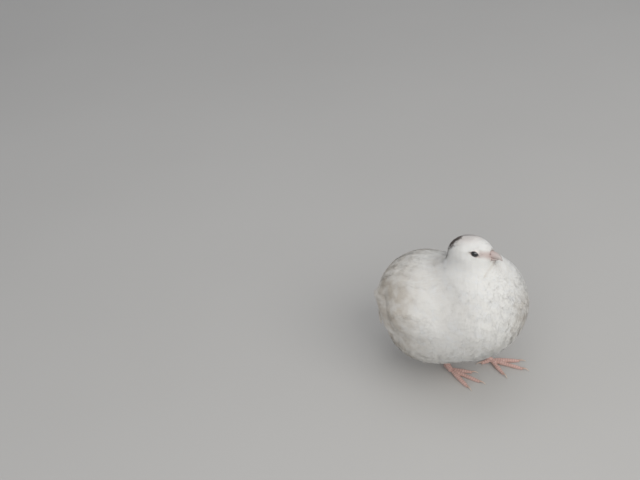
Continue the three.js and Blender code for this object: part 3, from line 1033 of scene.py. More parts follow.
def paint_skin(skin, grooves):
    """Gives the skin its markings and painted shade line, the grooves of its scutes, and the legs their own
    material.
    """
    mesh = skin.data
    points = mesh_points(mesh)
    set_attribute(mesh, "mark", crown_mark_and_shade(points, 0))
    set_attribute(mesh, "blush", blush(points))
    set_attribute(mesh, "lid", lid_edge(points))
    leg_points = np.concatenate([places for places, _ in grooves])
    leg_grooves = np.concatenate([values for _, values in grooves])
    tree = kdtree.KDTree(len(leg_points))
    for i, point in enumerate(leg_points):
        tree.insert(point, i)
    tree.balance()
    groove = np.zeros(len(points))
    on_leg = np.zeros(len(points), bool)
    for i in np.flatnonzero(points[:, 2] < LEGS_BELOW):
        _, index, distance = tree.find(points[i])
        if distance < SAME_PLACE:
            groove[i] = leg_grooves[index]
            on_leg[i] = True
    set_attribute(mesh, "groove", groove)
    materials = np.zeros(len(mesh.polygons), np.int32)
    for polygon in mesh.polygons:
        if all(on_leg[i] for i in polygon.vertices):
            materials[polygon.index] = 1
    mesh.polygons.foreach_set("material_index", materials)


def unwrap(skin):
    """Lays the skin's own shape out flat, as the bake map."""
    skin.data.uv_layers.new(name=BAKE_MAP)
    bpy.context.view_layer.objects.active = skin
    skin.select_set(True)
    bpy.ops.object.mode_set(mode="EDIT")
    bpy.ops.mesh.select_all(action="SELECT")
    bpy.ops.uv.smart_project(angle_limit=math.radians(66), island_margin=0.002)
    bpy.ops.object.mode_set(mode="OBJECT")
    skin.select_set(False)


# Feather patterns: flat vanes in their own plane, x from 0 at the root to 1 at the tip

def barb_reach(x, angle, outline):
    """How far a barb goes from the shaft before it meets the vane's outline."""
    low = 0.0
    high = 1.0
    for _ in range(18):
        half = (low + high) / 2
        at = x + half * math.cos(angle)
        inside = at < 1 and half * math.sin(angle) < outline(at)
        low, high = (half, high) if inside else (low, half)
    return low


def oval(width, widest):
    """A vane's half width along its length: widest at a given place, round at the tip."""
    def outline(x):
        if x < widest:
            return width * (1 - 0.35 * ((widest - x) / widest) ** 2)
        return width * max(1 - ((x - widest) / (1 - widest)) ** 2, 0) ** 0.5
    return outline


BARB_FULL = 0.84  # of a barb's length, before it narrows to its point
BARB_CURVE = 10  # degrees a barb bends towards the feather's tip
BARB_HALF = 0.56  # of the way to the next barb, so that barbs overlap
LAST_BARB = 0.955  # where along the shaft the last barbs grow
SHAFT = {"half": 0.016, "end": 0.97, "proud": 0.006}
JITTER = {"length": 1, "sideways": 0.10, "lift": 0.025, "shift": 0.12}  # of a loose barb


class Pattern:
    """One kind of feather: barbs on both sides of a shaft, as narrow pointed strips side by side."""

    def __init__(self, width, widest, start, barbs, spread, loose, joints=1):
        self.width = width
        self.loose = loose
        self.barbs = 2 * barbs
        self.points = []
        self.faces = []
        self.barb = []  # which barb a point belongs to, 0 for the shaft
        self.along_barb = []
        outline = oval(width, widest)
        roots = np.linspace(start, LAST_BARB, barbs)
        angles = np.radians(mix(spread[0], spread[1], ((roots - start) / (1 - start)) ** 1.3))
        reaches = np.array([barb_reach(x, angle, outline) for x, angle in zip(roots, angles)])
        shares = [BARB_FULL * row / joints for row in range(joints + 1)]
        rows = []
        for q in shares + [1.0]:
            lead = angles + math.radians(BARB_CURVE) * (1 - q)
            rows.append(np.stack([roots + reaches * q * np.cos(lead), reaches * q * np.sin(lead)], 1))
        for side in (1, -1):
            for number in range(barbs):
                self.add_barb(rows, shares, number, side)
        self.add_shaft(start)
        self.points = np.array(self.points)
        self.faces = np.array(self.faces)
        self.barb = np.array(self.barb)
        self.along_barb = np.array(self.along_barb)
        self.shaft = (self.barb == 0).astype(float)

    def add_point(self, x, y, barb, q):
        self.points.append((x, y))
        self.barb.append(barb)
        self.along_barb.append(q)

    def add_barb(self, rows, shares, number, side):
        """A strip as wide as the way to the next barb, then a point."""
        base = len(self.points)
        label = 1 + number + (0 if side > 0 else self.barbs // 2)
        before = max(number - 1, 0)
        after = min(number + 1, len(rows[0]) - 1)
        for row, q in zip(rows, shares):
            step = (row[after] - row[before]) / (after - before)
            for end in (-BARB_HALF, BARB_HALF):
                x, y = row[number] + step * end
                self.add_point(x, side * max(y, 0), label, q)
        self.add_point(rows[-1][number][0], side * rows[-1][number][1], label, 1.0)
        strip = []
        for row in range(len(shares) - 1):
            a, b, c, d = (base + 2 * row + i for i in (0, 1, 3, 2))
            strip += [(a, b, c), (a, c, d)]
        a, b, tip = (base + 2 * (len(shares) - 1) + i for i in (0, 1, 2))
        strip.append((a, b, tip))
        self.faces += strip if side > 0 else [face[::-1] for face in strip]

    def add_shaft(self, start):
        base = len(self.points)
        rows = (0.0, 0.5 * start + 0.2, SHAFT["end"])
        for x in rows:
            half = SHAFT["half"] * (1.15 - x)
            for end in (-1, 1):
                self.add_point(x, end * half, 0, 0.0)
        for row in range(len(rows) - 1):
            a, b, c, d = (base + 2 * row + i for i in (0, 2, 3, 1))
            self.faces += [(a, b, c), (a, c, d)]


def sampled(path, x):
    """The path's value at x, 0 to 1 along it. The path has a row of steps for each feather, as x has."""
    steps = path.shape[1] - 1
    place = np.clip(x, 0, 1) * steps
    index = np.minimum(place.astype(int), steps - 1)
    share = (place - index)[..., None]
    rows = np.arange(len(path))[:, None]
    return path[rows, index] * (1 - share) + path[rows, index + 1] * share


def lay_feathers(pattern, path, normals, lengths, droop, softness):
    """Lays a feather on each path. Returns points, their shading normals, the faces and places along."""
    count = len(path)

    def jitter(kind):
        """A random number for each barb's points, and none for the shaft's."""
        drawn = random.normal(0, pattern.loose * JITTER[kind], (count, pattern.barbs + 1))
        drawn[:, 0] = 0
        return drawn[:, pattern.barb]

    longer = jitter("length")
    sideways = jitter("sideways")
    lifted = jitter("lift")
    q = pattern.along_barb[None, :]
    x = pattern.points[:, 0] + longer * JITTER["shift"] * q
    y = pattern.points[:, 1] * (1 + longer * q) + sideways * q ** 2
    tangent = unit(sampled(path, x + 0.04) - sampled(path, x - 0.04))
    across = unit(np.cross(unit(sampled(normals, x)), tangent))
    normal = np.cross(tangent, across)
    scale = lengths[:, None, None]
    centre = sampled(path, x) + tangent * np.maximum(x - 1, 0)[..., None] * scale
    curve = -droop * (y / pattern.width) ** 2 * pattern.width
    lift = curve + lifted * q ** 2 + pattern.shaft * SHAFT["proud"]
    points = centre + (across * y[..., None] + normal * lift[..., None]) * scale
    faces = pattern.faces[None] + (np.arange(count) * points.shape[1])[:, None, None]
    points = points.reshape(-1, 3)
    outer = normal.reshape(-1, 3)
    faces = turned_outwards(points, faces.reshape(-1, 3), outer)
    own = vertex_normals(points, faces)
    shading = unit(mix(own, outer, softness))
    sharp = dots(own, outer) < 0.15
    shading[sharp] = outer[sharp]
    return points, shading, faces, x


def turned_outwards(points, faces, outer):
    """Turns over the faces of twisted barbs, so that all face away from the body."""
    turned_over = dots(face_normals(points, faces), outer[faces].mean(1)) < 0
    return np.where(turned_over[:, None], faces[:, ::-1], faces)


def coat_piece(name, batches, material):
    """One piece of the coat from batches of feathers, with its maps, markings and painted shade."""
    parts = []
    shading = []
    values = {label: [] for label in ("along", "tone", "mark", "blush", "warm_painted_shade", "shaft")}
    maps = []
    for batch in batches:
        pattern = batch["pattern"]
        path = batch["path"]
        laid = (path, batch["normals"], batch["lengths"], batch["droop"], batch["softness"])
        points, normals, faces, x = lay_feathers(pattern, *laid)
        parts.append((points, faces))
        shading.append(normals)
        size = len(pattern.points)
        seen = mix(path[:, 0], path[:, -1], 0.6)
        ragged = random.normal(0, MARK_RAGGED, len(path))
        values["along"].append(x.ravel())
        values["tone"].append(np.repeat(random.random(len(path)), size))
        values["mark"].append(np.repeat(crown_mark_and_shade(seen, ragged), size))
        values["blush"].append(np.repeat(blush(seen), size))
        values["warm_painted_shade"].append(np.repeat(warm_painted_shade(seen), size))
        values["shaft"].append(np.tile(pattern.shaft, len(path)))
        local = pattern.points - np.array([0.5, 0])
        spots = batch["map"][:, None] + local[None] * TUFT_PATCH
        maps.append(spots.reshape(-1, 2))
    mesh = new_mesh(name, *joined(parts))
    set_map(mesh, np.concatenate(maps))
    for label, lists in values.items():
        set_attribute(mesh, label, np.concatenate(lists))
    mesh.normals_split_custom_set_from_vertices(np.concatenate(shading).tolist())
    return add_piece(mesh, [material])


# Where the feathers of the coat grow

# Lengths of feathers beside the bill and the eyes, on the body and at most on the rump
FEATHER = {"bill": 2.6 * MM, "eye": 1.4 * MM, "body": 15 * MM, "rump": 11.5 * MM}
SPACING = {"share": 0.135, "least": 0.43 * MM, "most": 1.75 * MM}  # of a feather's length
TRIES = 4.5  # random spots for each square of the spacing
PATH_STEPS = 6
SHARPEST_FOLD = 0.55  # cosine of the angle that a path still bends over in one step


def feather_length(points):
    far = fade(distance_to(points, BILL_BASE), 7, 36)
    length = mix(FEATHER["bill"], FEATHER["body"], far)
    for eye in EYES.values():
        length = mix(FEATHER["eye"], length, fade(distance_to(points, eye), 3.8, 9))
    tail = fade(distance_to(points, TAIL_TIP), 34, 14)
    return mix(length, np.minimum(length, FEATHER["rump"]), tail)


def grow_spacing(points):
    """The distance between neighbouring feathers."""
    return np.clip(feather_length(points) * SPACING["share"], SPACING["least"], SPACING["most"])


def weighed(values, corners, weights):
    """Values at spots on a surface, from those at the corners of the spots' triangles."""
    return (values[corners] * weights[..., None]).sum(1)


def scatter(spacing_at, allowed):
    """Evenly spread random spots on the coat's surface, as their triangles' corners and weights there."""
    areas = np.linalg.norm(face_normals(envelope, envelope_faces), axis=1) / 2
    wish = areas / spacing_at(envelope[envelope_faces].mean(1)) ** 2 * TRIES
    chosen = np.repeat(np.arange(len(envelope_faces)), random.poisson(wish))
    random.shuffle(chosen)
    weights = random.random((len(chosen), 2))
    over = weights.sum(1) > 1
    weights[over] = 1 - weights[over]
    weights = np.column_stack([1 - weights.sum(1), weights])
    corners = envelope_faces[chosen]
    places = weighed(envelope, corners, weights)
    keep = allowed(places)
    corners, weights, places = corners[keep], weights[keep], places[keep]
    kept = spread_out(places, spacing_at(places))
    return corners[kept], weights[kept]


def spread_out(places, spacing):
    """Keeps the places, in order, that aren't too near one kept before."""
    steps = list(itertools.product((-1, 0, 1), repeat=3))
    cells = np.floor(places / spacing.max()).astype(int)
    grid = {}
    kept = []

    def crowded(place, others, reach):
        x, y, z = place
        return any((a - x) ** 2 + (b - y) ** 2 + (c - z) ** 2 < reach for a, b, c in others)

    for i, (place, reach) in enumerate(zip(places.tolist(), (spacing ** 2).tolist())):
        a, b, c = cells[i].tolist()
        around = (grid.get((a + i0, b + j0, c + k0), ()) for i0, j0, k0 in steps)
        if not any(crowded(place, others, reach) for others in around):
            grid.setdefault((a, b, c), []).append(place)
            kept.append(i)
    return np.array(kept)


def bare(places):
    """Places without the coat's feathers: the bill's base, the lids and eyes and the tail's end."""
    none = past_tail_end(places) > -0.5 * MM
    none &= np.abs((places - TAIL_TIP) @ TAIL_OUTWARD) < TAIL_HALF_DEPTH
    none &= np.abs(places[:, 1]) < TAIL_HALF_WIDTH
    none |= distance_to(places, BILL_BARE["centre"]) < BILL_BARE["radius"]
    for side in SIDES:
        close = distance_to(places, EYES[side]) < EYE_RADIUS * 2
        ahead = fade((places - EYES[side]) @ head_forward, 0, 3)
        limit = mix(LID_BARE["rear"], LID_BARE["front"], ahead)
        none |= close & (lid_place(places, side) < limit)
    return none


def follow(places, normals, headings, lengths):
    """Paths of equal steps along the coat's surface. Past a sharp fold a path runs on straight."""
    path = [places]
    path_normals = [normals]
    stride = (lengths / PATH_STEPS)[:, None]
    straight = np.zeros(len(places), bool)
    direction = headings
    for _ in range(PATH_STEPS):
        new_places = path[-1] + direction * stride
        new_normals = path_normals[-1].copy()
        for i in np.flatnonzero(~straight):
            spot, normal, _, _ = envelope_tree.find_nearest(new_places[i])
            normal = np.array(normal)
            if normal @ new_normals[i] < SHARPEST_FOLD:
                straight[i] = True
            else:
                new_places[i] = spot
                new_normals[i] = unit(mix(new_normals[i], normal, 0.7))
        wish = unit(mix(direction, lie(new_places, new_normals), 0.5))
        flat = unit(wish - new_normals * dots(wish, new_normals)[:, None])
        direction = np.where(straight[:, None], direction, flat)
        path.append(new_places)
        path_normals.append(new_normals)
    return np.stack(path, 1), np.stack(path_normals, 1)


class BakeMap:
    """Finds the place on the skin's map under any point."""

    def __init__(self, mesh):
        self.points = mesh_points(mesh)
        self.faces = triangles_of(mesh)
        loops = np.empty(self.faces.size, np.int32)
        mesh.loop_triangles.foreach_get("loops", loops)
        places = np.empty(len(mesh.loops) * 2, np.float32)
        mesh.uv_layers[BAKE_MAP].data.foreach_get("uv", places)
        self.spots = places.reshape(-1, 2)[loops.reshape(-1, 3)]
        self.tree = BVHTree.FromPolygons(self.points.tolist(), self.faces.tolist())

    def under(self, places):
        found = np.empty((len(places), 2))
        for i, place in enumerate(places):
            spot, _, index, _ = self.tree.find_nearest(place)
            gaps = 1 / (distance_to(self.points[self.faces[index]], np.array(spot)) + 1e-6)
            found[i] = (self.spots[index] * (gaps / gaps.sum())[:, None]).sum(0)
        return found


def turned(headings, normals, angles):
    """Headings turned about their normals."""
    across = np.cross(normals, headings)
    return headings * np.cos(angles)[:, None] + across * np.sin(angles)[:, None]


def coat_roots(skin_points):
    """All the coat's feathers: places on the outer surface, on the skin below, and their normals."""
    corners, weights = scatter(grow_spacing, lambda places: ~bare(places))
    outer = weighed(envelope, corners, weights)
    roots = weighed(skin_points, corners, weights)
    return outer, roots, unit(weighed(envelope_normals, corners, weights))


def rise(path, normals, depths, tip_lift, power):
    """Lowers each path into the coat: on the skin at its root, at the outer surface at its tip."""
    share = np.linspace(0, 1, path.shape[1])[None, :]
    sink = depths[:, None] * (1 - share) ** power - tip_lift[:, None] * share ** 2
    return path - normals * sink[..., None]


COAT = {"turn": 7.0, "swirl": 9, "lift": 0.02 * MM, "sunk": 0.3 * MM, "rise": 2.8}  # turns in degrees
# How far a vane droops at its edges, and how much of its shading is the smooth coat's
COAT_LOOKS = {"droop": 0.02, "softness": 0.92}
WAVES = {"across": 17 * MM, "high": 0.6 * MM}
FOLDS = {"across": 5 * MM, "high": 0.15 * MM, "stretched": np.array([1, 1, 0.2])}
STRAY = 0.5 * MM  # of the feather tips that stand out over the rump
CREASE_DEPTH = 0.9 * MM


def coat_relief(outer):
    """How far feather tips stand out of the smooth outer surface, or dip below it in a crease."""
    waves = lumps(outer, WAVES["across"], 5) * WAVES["high"]
    on_front = fade(outer[:, 0], 40, 50)
    folds = lumps(outer * FOLDS["stretched"], FOLDS["across"], 9) * on_front * FOLDS["high"]
    ragged = fade(outer[:, 0], -22, -45) * fade(outer[:, 2], 50, 65)
    stray = np.abs(random.normal(0, STRAY, len(outer))) * ragged
    return waves + folds + stray - crease(outer) * CREASE_DEPTH


def coat_batch(pattern, outer, roots, normals, bake_map):
    """Feathers of one pattern that grow from the given roots and follow the lie of the coat."""
    lengths = feather_length(outer) * (1 + random.normal(0, 0.07, len(outer)))
    swirl = lumps(outer, 14 * MM, 3) * COAT["swirl"]
    angles = np.radians(random.normal(0, COAT["turn"], len(outer)) + swirl)
    headings = turned(lie(outer, normals), normals, angles)
    path, path_normals = follow(outer, normals, headings, lengths)
    depths = np.linalg.norm(roots - outer, axis=1)
    relief = coat_relief(outer) - COAT["sunk"]
    tips = (random.normal(0, COAT["lift"], len(outer)) + relief) * lengths / FEATHER["body"]
    path = rise(path, path_normals, depths, tips, COAT["rise"])
    return {"pattern": pattern, "path": path, "normals": path_normals, "lengths": lengths,
            "map": bake_map.under(roots), **COAT_LOOKS}


DOWN = Pattern(0.26, widest=0.66, start=0.3, barbs=21, spread=(28, 12), loose=0.2)
MIDDLING = Pattern(0.25, widest=0.64, start=0.26, barbs=12, spread=(30, 13), loose=0.2)
SHORT = Pattern(0.21, widest=0.6, start=0.2, barbs=6, spread=(34, 15), loose=0.18)
COVERT = Pattern(0.27, widest=0.66, start=0.24, barbs=26, spread=(38, 16), loose=0.12)
# The coat's patterns, each with the shortest and the longest feathers that it is for
PATTERN_LENGTHS = ((SHORT, 0, 4 * MM), (MIDDLING, 4 * MM, 9 * MM), (DOWN, 9 * MM, 1))
FLIGHT = Pattern(0.1, widest=0.7, start=0.12, barbs=56, spread=(36, 20), loose=0.03, joints=2)
RECTRIX = Pattern(0.12, widest=0.72, start=0.1, barbs=56, spread=(38, 22), loose=0.03, joints=2)


# Bounds of the coat's pieces: the head's from the skull's middle, the others from the body's
REGIONS = {"head": 19 * MM, "front": 8 * MM, "low": -14 * MM, "back": 14 * MM}


def make_coat(skin_points, bake_map):
    material = plumage_material("plumage_white", 0.35, 0.82)
    outer, roots, normals = coat_roots(skin_points)
    body = wing_share(outer) > COAT_STARTS
    outer, roots, normals = outer[body], roots[body], normals[body]
    x, y, z = (outer - BODY_CENTRE).T
    is_head = distance_to(outer, SKULL) < REGIONS["head"]
    is_front = (x > REGIONS["front"]) & ~is_head
    is_low = (z < REGIONS["low"]) & ~is_head & ~is_front
    is_back = (z > REGIONS["back"]) & ~is_head & ~is_front
    rest = ~(is_head | is_front | is_low | is_back)
    regions = {
        "coat_head": is_head,
        "coat_breast_left": is_front & (y > 0),
        "coat_breast_right": is_front & (y <= 0),
        "coat_belly": is_low,
        "coat_back": is_back,
        "coat_flank_left": rest & (y > 0),
        "coat_flank_right": rest & (y <= 0),
    }
    lengths = feather_length(outer)
    for name, chosen in regions.items():
        batches = []
        for pattern, shortest, longest in PATTERN_LENGTHS:
            some = chosen & (lengths >= shortest) & (lengths < longest)
            if some.any():
                batches.append(coat_batch(pattern, outer[some], roots[some], normals[some], bake_map))
        piece = coat_piece(name, batches, material)
        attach(piece, "root")


# Wings: rows of coverts over the folded flight feathers

WING_SPACING = 1.9 * MM
COVERTS = {"bend": 8.5 * MM, "longest": 17 * MM, "depth": 1.9 * MM, "sunk": 0.1 * MM, "rise": 2.2}
COVERT_LOOKS = {"droop": 0.1, "softness": 0.65}
# The fan of flight feathers, from the tertials on the back (share below 0) to the lowest on the side
QUILL_SHARES = np.linspace(-0.42, 1, 11)
QUILL_ROOT = {"ahead": 30, "shorter": 6, "turns": (52, 100)}
QUILL_BEND = {"ahead": 14, "shorter": 9, "turns": (54, 100)}
QUILL_TIP = {"out": 12, "further": 13.6, "above": 14.4, "lower": 14.4, "shorter": 12}
TRACK_STEPS = 8


def wing_roots(side):
    """Where the coverts of one wing grow, on the coat's outer surface, and the normals there."""
    def spacing(points):
        return np.full(len(points), WING_SPACING)

    def allowed(places):
        return (places[:, 1] * SIDES[side] > 6 * MM) & (wing_share(places) < COVERTS_END)

    corners, weights = scatter(spacing, allowed)
    return weighed(envelope, corners, weights), unit(weighed(envelope_normals, corners, weights))


def wing_covert_batch(side, bake_map):
    """Coverts, smallest at the bend of the wing and longest over the flight feathers."""
    outer, normals = wing_roots(side)
    back = smooth_step(WING_HIGH[0], WING_LOW[0] + 18 * MM, outer[:, 0])
    lengths = mix(COVERTS["bend"], COVERTS["longest"], back) * (1 + random.normal(0, 0.05, len(outer)))
    angles = np.radians(random.normal(0, 4, len(outer)) + lumps(outer, 16 * MM, 8) * 8)
    headings = turned(lie(outer, normals), normals, angles)
    path, path_normals = follow(outer, normals, headings, lengths)
    depths = np.full(len(outer), COVERTS["depth"])
    tips = random.normal(-COVERTS["sunk"], 0.08 * MM, len(outer))
    path = rise(path, path_normals, depths, tips, COVERTS["rise"])
    return {"pattern": COVERT, "path": path, "normals": path_normals, "lengths": lengths,
            "map": bake_map.under(outer), **COVERT_LOOKS}


def long_feathers(pattern, paths, normals, bake_map, droop, softness):
    """Feathers of one pattern on given paths, with the normals to lay them by."""
    path = np.array(paths)
    lengths = np.linalg.norm(np.diff(path, axis=1), axis=2).sum(1)
    return {"pattern": pattern, "path": path, "normals": np.array(normals), "lengths": lengths,
            "map": bake_map.under(path[:, 0]), "droop": droop, "softness": softness}


def freed_normals(line, outward):
    """Normals along a long feather: the body's at its root, and its own where it stands free."""
    normals = []
    for number, place in enumerate(line):
        _, normal, _, _ = envelope_tree.find_nearest(place)
        normal = np.array(normal)
        free = smooth_step(0.3, 0.8, number / TRACK_STEPS)
        if normal @ outward < 0.3:
            free = 1
        normals.append(unit(mix(normal, outward, free)))
    return normals


def curve_through(places, steps):
    """Even steps along the smooth curve through three places."""
    a, b, c = places
    t = np.linspace(0, 1, 40)[:, None]
    handle = 2 * b - (a + c) / 2
    curve = (1 - t) ** 2 * a + 2 * t * (1 - t) * handle + t ** 2 * c
    travelled = np.concatenate([[0], np.cumsum(np.linalg.norm(np.diff(curve, axis=0), axis=1))])
    wanted = np.linspace(0, travelled[-1], steps + 1)
    return np.stack([np.interp(wanted, travelled, curve[:, axis]) for axis in range(3)], 1)


def on_body(ahead, turn, side, proud):
    """Where a ray from the body's axis, turned from upright, leaves the coat's surface."""
    start = Vector((ahead, 0, BODY_CENTRE[2]))
    angle = math.radians(turn)
    heading = Vector((0, SIDES[side] * math.sin(angle), math.cos(angle)))
    hit, normal, _, _ = envelope_tree.ray_cast(start + heading * 0.2, -heading)
    return np.array(hit + normal * proud)


def quill_turn(turns, share):
    """How far round from upright a flight feather lies, the tertials nearest the back's middle."""
    return mix(turns[0], turns[1], share) if share > 0 else turns[0] + share * 60


def wing_quill_batch(side, bake_map):
    """The flight feathers: their tips show behind the coverts and stand free over the rump."""
    paths = []
    normals = []
    for share in QUILL_SHARES[::-1]:
        track = []
        for part, proud in ((QUILL_ROOT, -3.0), (QUILL_BEND, 0.3 + 2.2 * min(share, 0))):
            ahead = WING_LOW[0] + (part["ahead"] + part["shorter"] * abs(share)) * MM
            track.append(on_body(ahead, quill_turn(part["turns"], share), side, proud * MM))
        shorter = QUILL_TIP["shorter"] * abs(share)
        track.append(np.array([
            WING_LOW[0] + (0.6 + shorter) * MM,
            SIDES[side] * (QUILL_TIP["out"] + share * QUILL_TIP["further"]) * MM,
            WING_LOW[2] + (QUILL_TIP["above"] - share * QUILL_TIP["lower"]) * MM,
        ]))
        line = curve_through(track, TRACK_STEPS)
        sideways = SIDES[side] * mix(0.45, 0.95, max(share, 0))
        paths.append(line)
        normals.append(freed_normals(line, unit(np.array([-0.5, sideways, 0.55 - 0.4 * share]))))
    return long_feathers(FLIGHT, paths, normals, bake_map, 0.12, 0.3)


def make_wings(bake_map):
    material = plumage_material("plumage_wing", 0.55, 0.7)
    for side in SIDES:
        batches = [wing_quill_batch(side, bake_map), wing_covert_batch(side, bake_map)]
        piece = coat_piece(f"wing_feathers_{side}", batches, material)
        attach(piece, "root")
        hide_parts(f"wing_{side}")


# Tail: a narrow drooping fan under its coverts

RECTRICES = 10
TAIL_SPREAD = 15  # degrees from the middle feather to the outermost
TAIL_CAMBER = 38  # degrees that the outermost feathers are tilted, as on a roof
TAIL_LAYER = 0.12 * MM  # from one tail feather's tip to the next one's over it


def distance_out(place, direction):
    """How far a place inside the coat's surface lies below it, along a direction."""
    hit, _, _, distance = envelope_tree.ray_cast(Vector(place), Vector(direction))
    return distance if hit else 0.0


def tail_track(share, length):
    """The root, bend and tip of a tail feather, from -1 for the outermost on one side to 1."""
    angle = math.radians(TAIL_SPREAD * share)
    heading = TAIL_AXIS * math.cos(angle) + LEFTWARDS * math.sin(angle)
    sink = TAIL_OUTWARD * (0.5 - 3.3 * abs(share)) * MM
    start = TAIL_ROOT + LEFTWARDS * share * 2 * MM
    reach = length * (1 - 0.06 * share ** 2)
    bend = start + heading * reach * 0.55 + sink * 0.5
    bend = bend + TAIL_OUTWARD * (distance_out(bend, TAIL_OUTWARD) - 0.7 * MM)
    return start, bend, start + heading * reach + sink


def make_tail(bake_map):
    """The fan, from the outermost feathers to the middle ones that lie over them."""
    length = np.linalg.norm(TAIL_TIP - TAIL_ROOT)
    paths = []
    normals = []
    for number in sorted(range(RECTRICES), key=lambda i: -abs(i - (RECTRICES - 1) / 2)):
        share = 2 * number / (RECTRICES - 1) - 1
        tilt = math.radians(TAIL_CAMBER * share)
        normal = TAIL_OUTWARD * math.cos(tilt) + LEFTWARDS * math.sin(tilt)
        paths.append(curve_through(tail_track(share, length), TRACK_STEPS))
        normals.append([normal] * (TRACK_STEPS + 1))
    batch = long_feathers(RECTRIX, paths, normals, bake_map, 0.3, 0.2)
    steps = np.linspace(0, 1, TRACK_STEPS + 1)[None, :, None]
    layer = np.arange(RECTRICES)[:, None, None] * TAIL_LAYER
    batch["path"] = batch["path"] + TAIL_OUTWARD * layer * steps
    piece = coat_piece("tail_feathers", [batch], plumage_material("plumage_tail", 0.6, 0.7))
    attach(piece, "root")
    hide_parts("tail")


# Bill

BILL_SECTIONS = 90
BILL_ROUND = 84


def loft(rings):
    """A closed form over rings of points, with the first and last ring drawn to a point."""
    count, around = rings.shape[:2]
    points = np.concatenate([rings.reshape(-1, 3), [rings[0].mean(0), rings[-1].mean(0)]])
    start, end = len(points) - 2, len(points) - 1
    here = np.arange(around)
    there = (here + 1) % around
    quads = []
    for row in range(count - 1):
        low, high = row * around, (row + 1) * around
        quads.append(np.stack([low + here, low + there, high + there, high + here], 1))
    first = np.stack([np.full(around, start), there, here], 1)
    last = np.stack([np.full(around, end), (count - 1) * around + here, (count - 1) * around + there], 1)
    faces = np.concatenate([halves(np.concatenate(quads)), first, last])
    inwards = dots(vertex_normals(points, faces), points - points.mean(0)).mean() < 0
    return points, faces[:, ::-1] if inwards else faces


def through(places, x):
    """A smooth curve's height at x, through places (x, height) in order."""
    xs, heights = np.array(places).T
    slopes = np.gradient(heights, xs)
    i = int(np.clip(np.searchsorted(xs, x) - 1, 0, len(xs) - 2))
    step = xs[i + 1] - xs[i]
    t = (x - xs[i]) / step
    start = heights[i] * (1 + 2 * t) + slopes[i] * step * t
    end = heights[i + 1] * (3 - 2 * t) - slopes[i + 1] * step * (1 - t)
    return start * (1 - t) ** 2 + end * t ** 2


# Profiles of the bill in the head's own frame: millimetres ahead, and height there
# The ridge, the edges where the halves meet, the lower half's keel, and half the width of each
CULMEN = ((8, 0.9), (12, 1.25), (15, 1.15), (18, 0.4), (20.5, -1.1), (22.3, -3.2), (23, -5.2))
TOMIUM = ((8, -3.3), (12, -3.3), (15, -3.3), (18, -3.75), (20.5, -4.5), (22.3, -5.5), (23, -5.9))
KEEL = ((8, -5.7), (12, -5.75), (15, -5.65), (18, -5.5), (20.6, -5.25))
BILL_HALF_WIDTH = {
    "upper": ((8, 3.6), (12, 3.3), (16, 2.75), (19.5, 2.0), (22, 1.15), (23, 0.5)),
    "lower": ((8, 3.2), (12, 2.95), (16, 2.45), (19, 1.7), (20.6, 0.9)),
}
BILL_END_ROUND = 1.0  # millimetres before the end over which a half rounds off
GAPE_OVERLAP = 0.15
FLATTENED = 0.57  # power that squares off the side where the halves meet


def bill_ring(ahead, low, high, middle_height, half, flat_side):
    """A section of one half of the bill: round away from the gape and squared off beside it."""
    ring = []
    for i in range(BILL_ROUND):
        turn = 2 * math.pi * i / BILL_ROUND
        across = math.sin(turn)
        rise_at = math.cos(turn)
        if rise_at * flat_side > 0:
            across = math.copysign(abs(across) ** FLATTENED, across)
            rise_at = math.copysign(abs(rise_at) ** FLATTENED, rise_at)
        reach = high - middle_height if rise_at > 0 else middle_height - low
        ring.append(on_head(ahead, across * half, middle_height + rise_at * reach))
    return ring


def bill_rings(part):
    """Sections from inside the face to the tip, closer together towards the tip."""
    end = BILL_HALF_WIDTH[part][-1][0]
    rings = []
    for row in range(BILL_SECTIONS):
        ahead = mix(CULMEN[0][0], end, 1 - (1 - row / (BILL_SECTIONS - 1)) ** 1.6)
        into_end = max((ahead - end) / BILL_END_ROUND + 1, 0)
        rounding = max(max(1 - into_end ** 2, 0) ** 0.5, 0.06)
        half = through(BILL_HALF_WIDTH[part], ahead) * rounding
        gape = through(TOMIUM, ahead)
        if part == "upper":
            ridge = through(CULMEN, ahead)
            rings.append(bill_ring(ahead, gape - GAPE_OVERLAP, ridge, mix(gape, ridge, 0.3), half, -1))
        else:
            keel = mix(gape, through(KEEL, ahead), rounding)
            rings.append(bill_ring(ahead, keel, gape, mix(gape, keel, 0.35), half, 1))
    return np.array(rings)


NOSTRIL = {"ahead": 15.0, "above": -0.7}


def carve_nostrils(points, normals):
    """A slit below a soft lid on each side of the upper half, and how deep each point is in it."""
    place = in_head(points) / MM
    above = place[:, 2] - NOSTRIL["above"]
    along = place[:, 0] - NOSTRIL["ahead"] + 0.25 * above
    groove = np.zeros(len(points))
    for side in SIDES.values():
        facing = place[:, 1] * side > 0.6
        slit = np.exp(-along ** 4 - (above / 0.22) ** 2) * facing
        lid = np.exp(-(along / 1.5) ** 2 - ((above - 0.6) / 0.45) ** 2) * facing
        points = points + normals * ((lid * 0.22 - slit * 0.5) * MM)[:, None]
        groove = np.maximum(groove, slit)
    return points, groove


def bill_piece(name, part):
    """One half of the bill, with its tones and grooves."""
    points, faces = loft(bill_rings(part))
    groove = np.zeros(len(points))
    if part == "upper":
        points, groove = carve_nostrils(points, vertex_normals(points, faces))
    mesh = new_mesh(name, points, faces)
    set_attribute(mesh, "along", np.clip((in_head(points)[:, 0] / MM - 12) / 11, 0, 1))
    set_attribute(mesh, "groove", groove)
    piece = add_piece(mesh, [bill_material()])
    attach(piece, "root")
    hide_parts(f"bill_{part}")


# Eyes

EYEBALL = 0.965  # of the eye's radius, without its cornea
CORNEA = {"proud": 0.05, "edge": math.radians(46), "full": math.radians(8)}


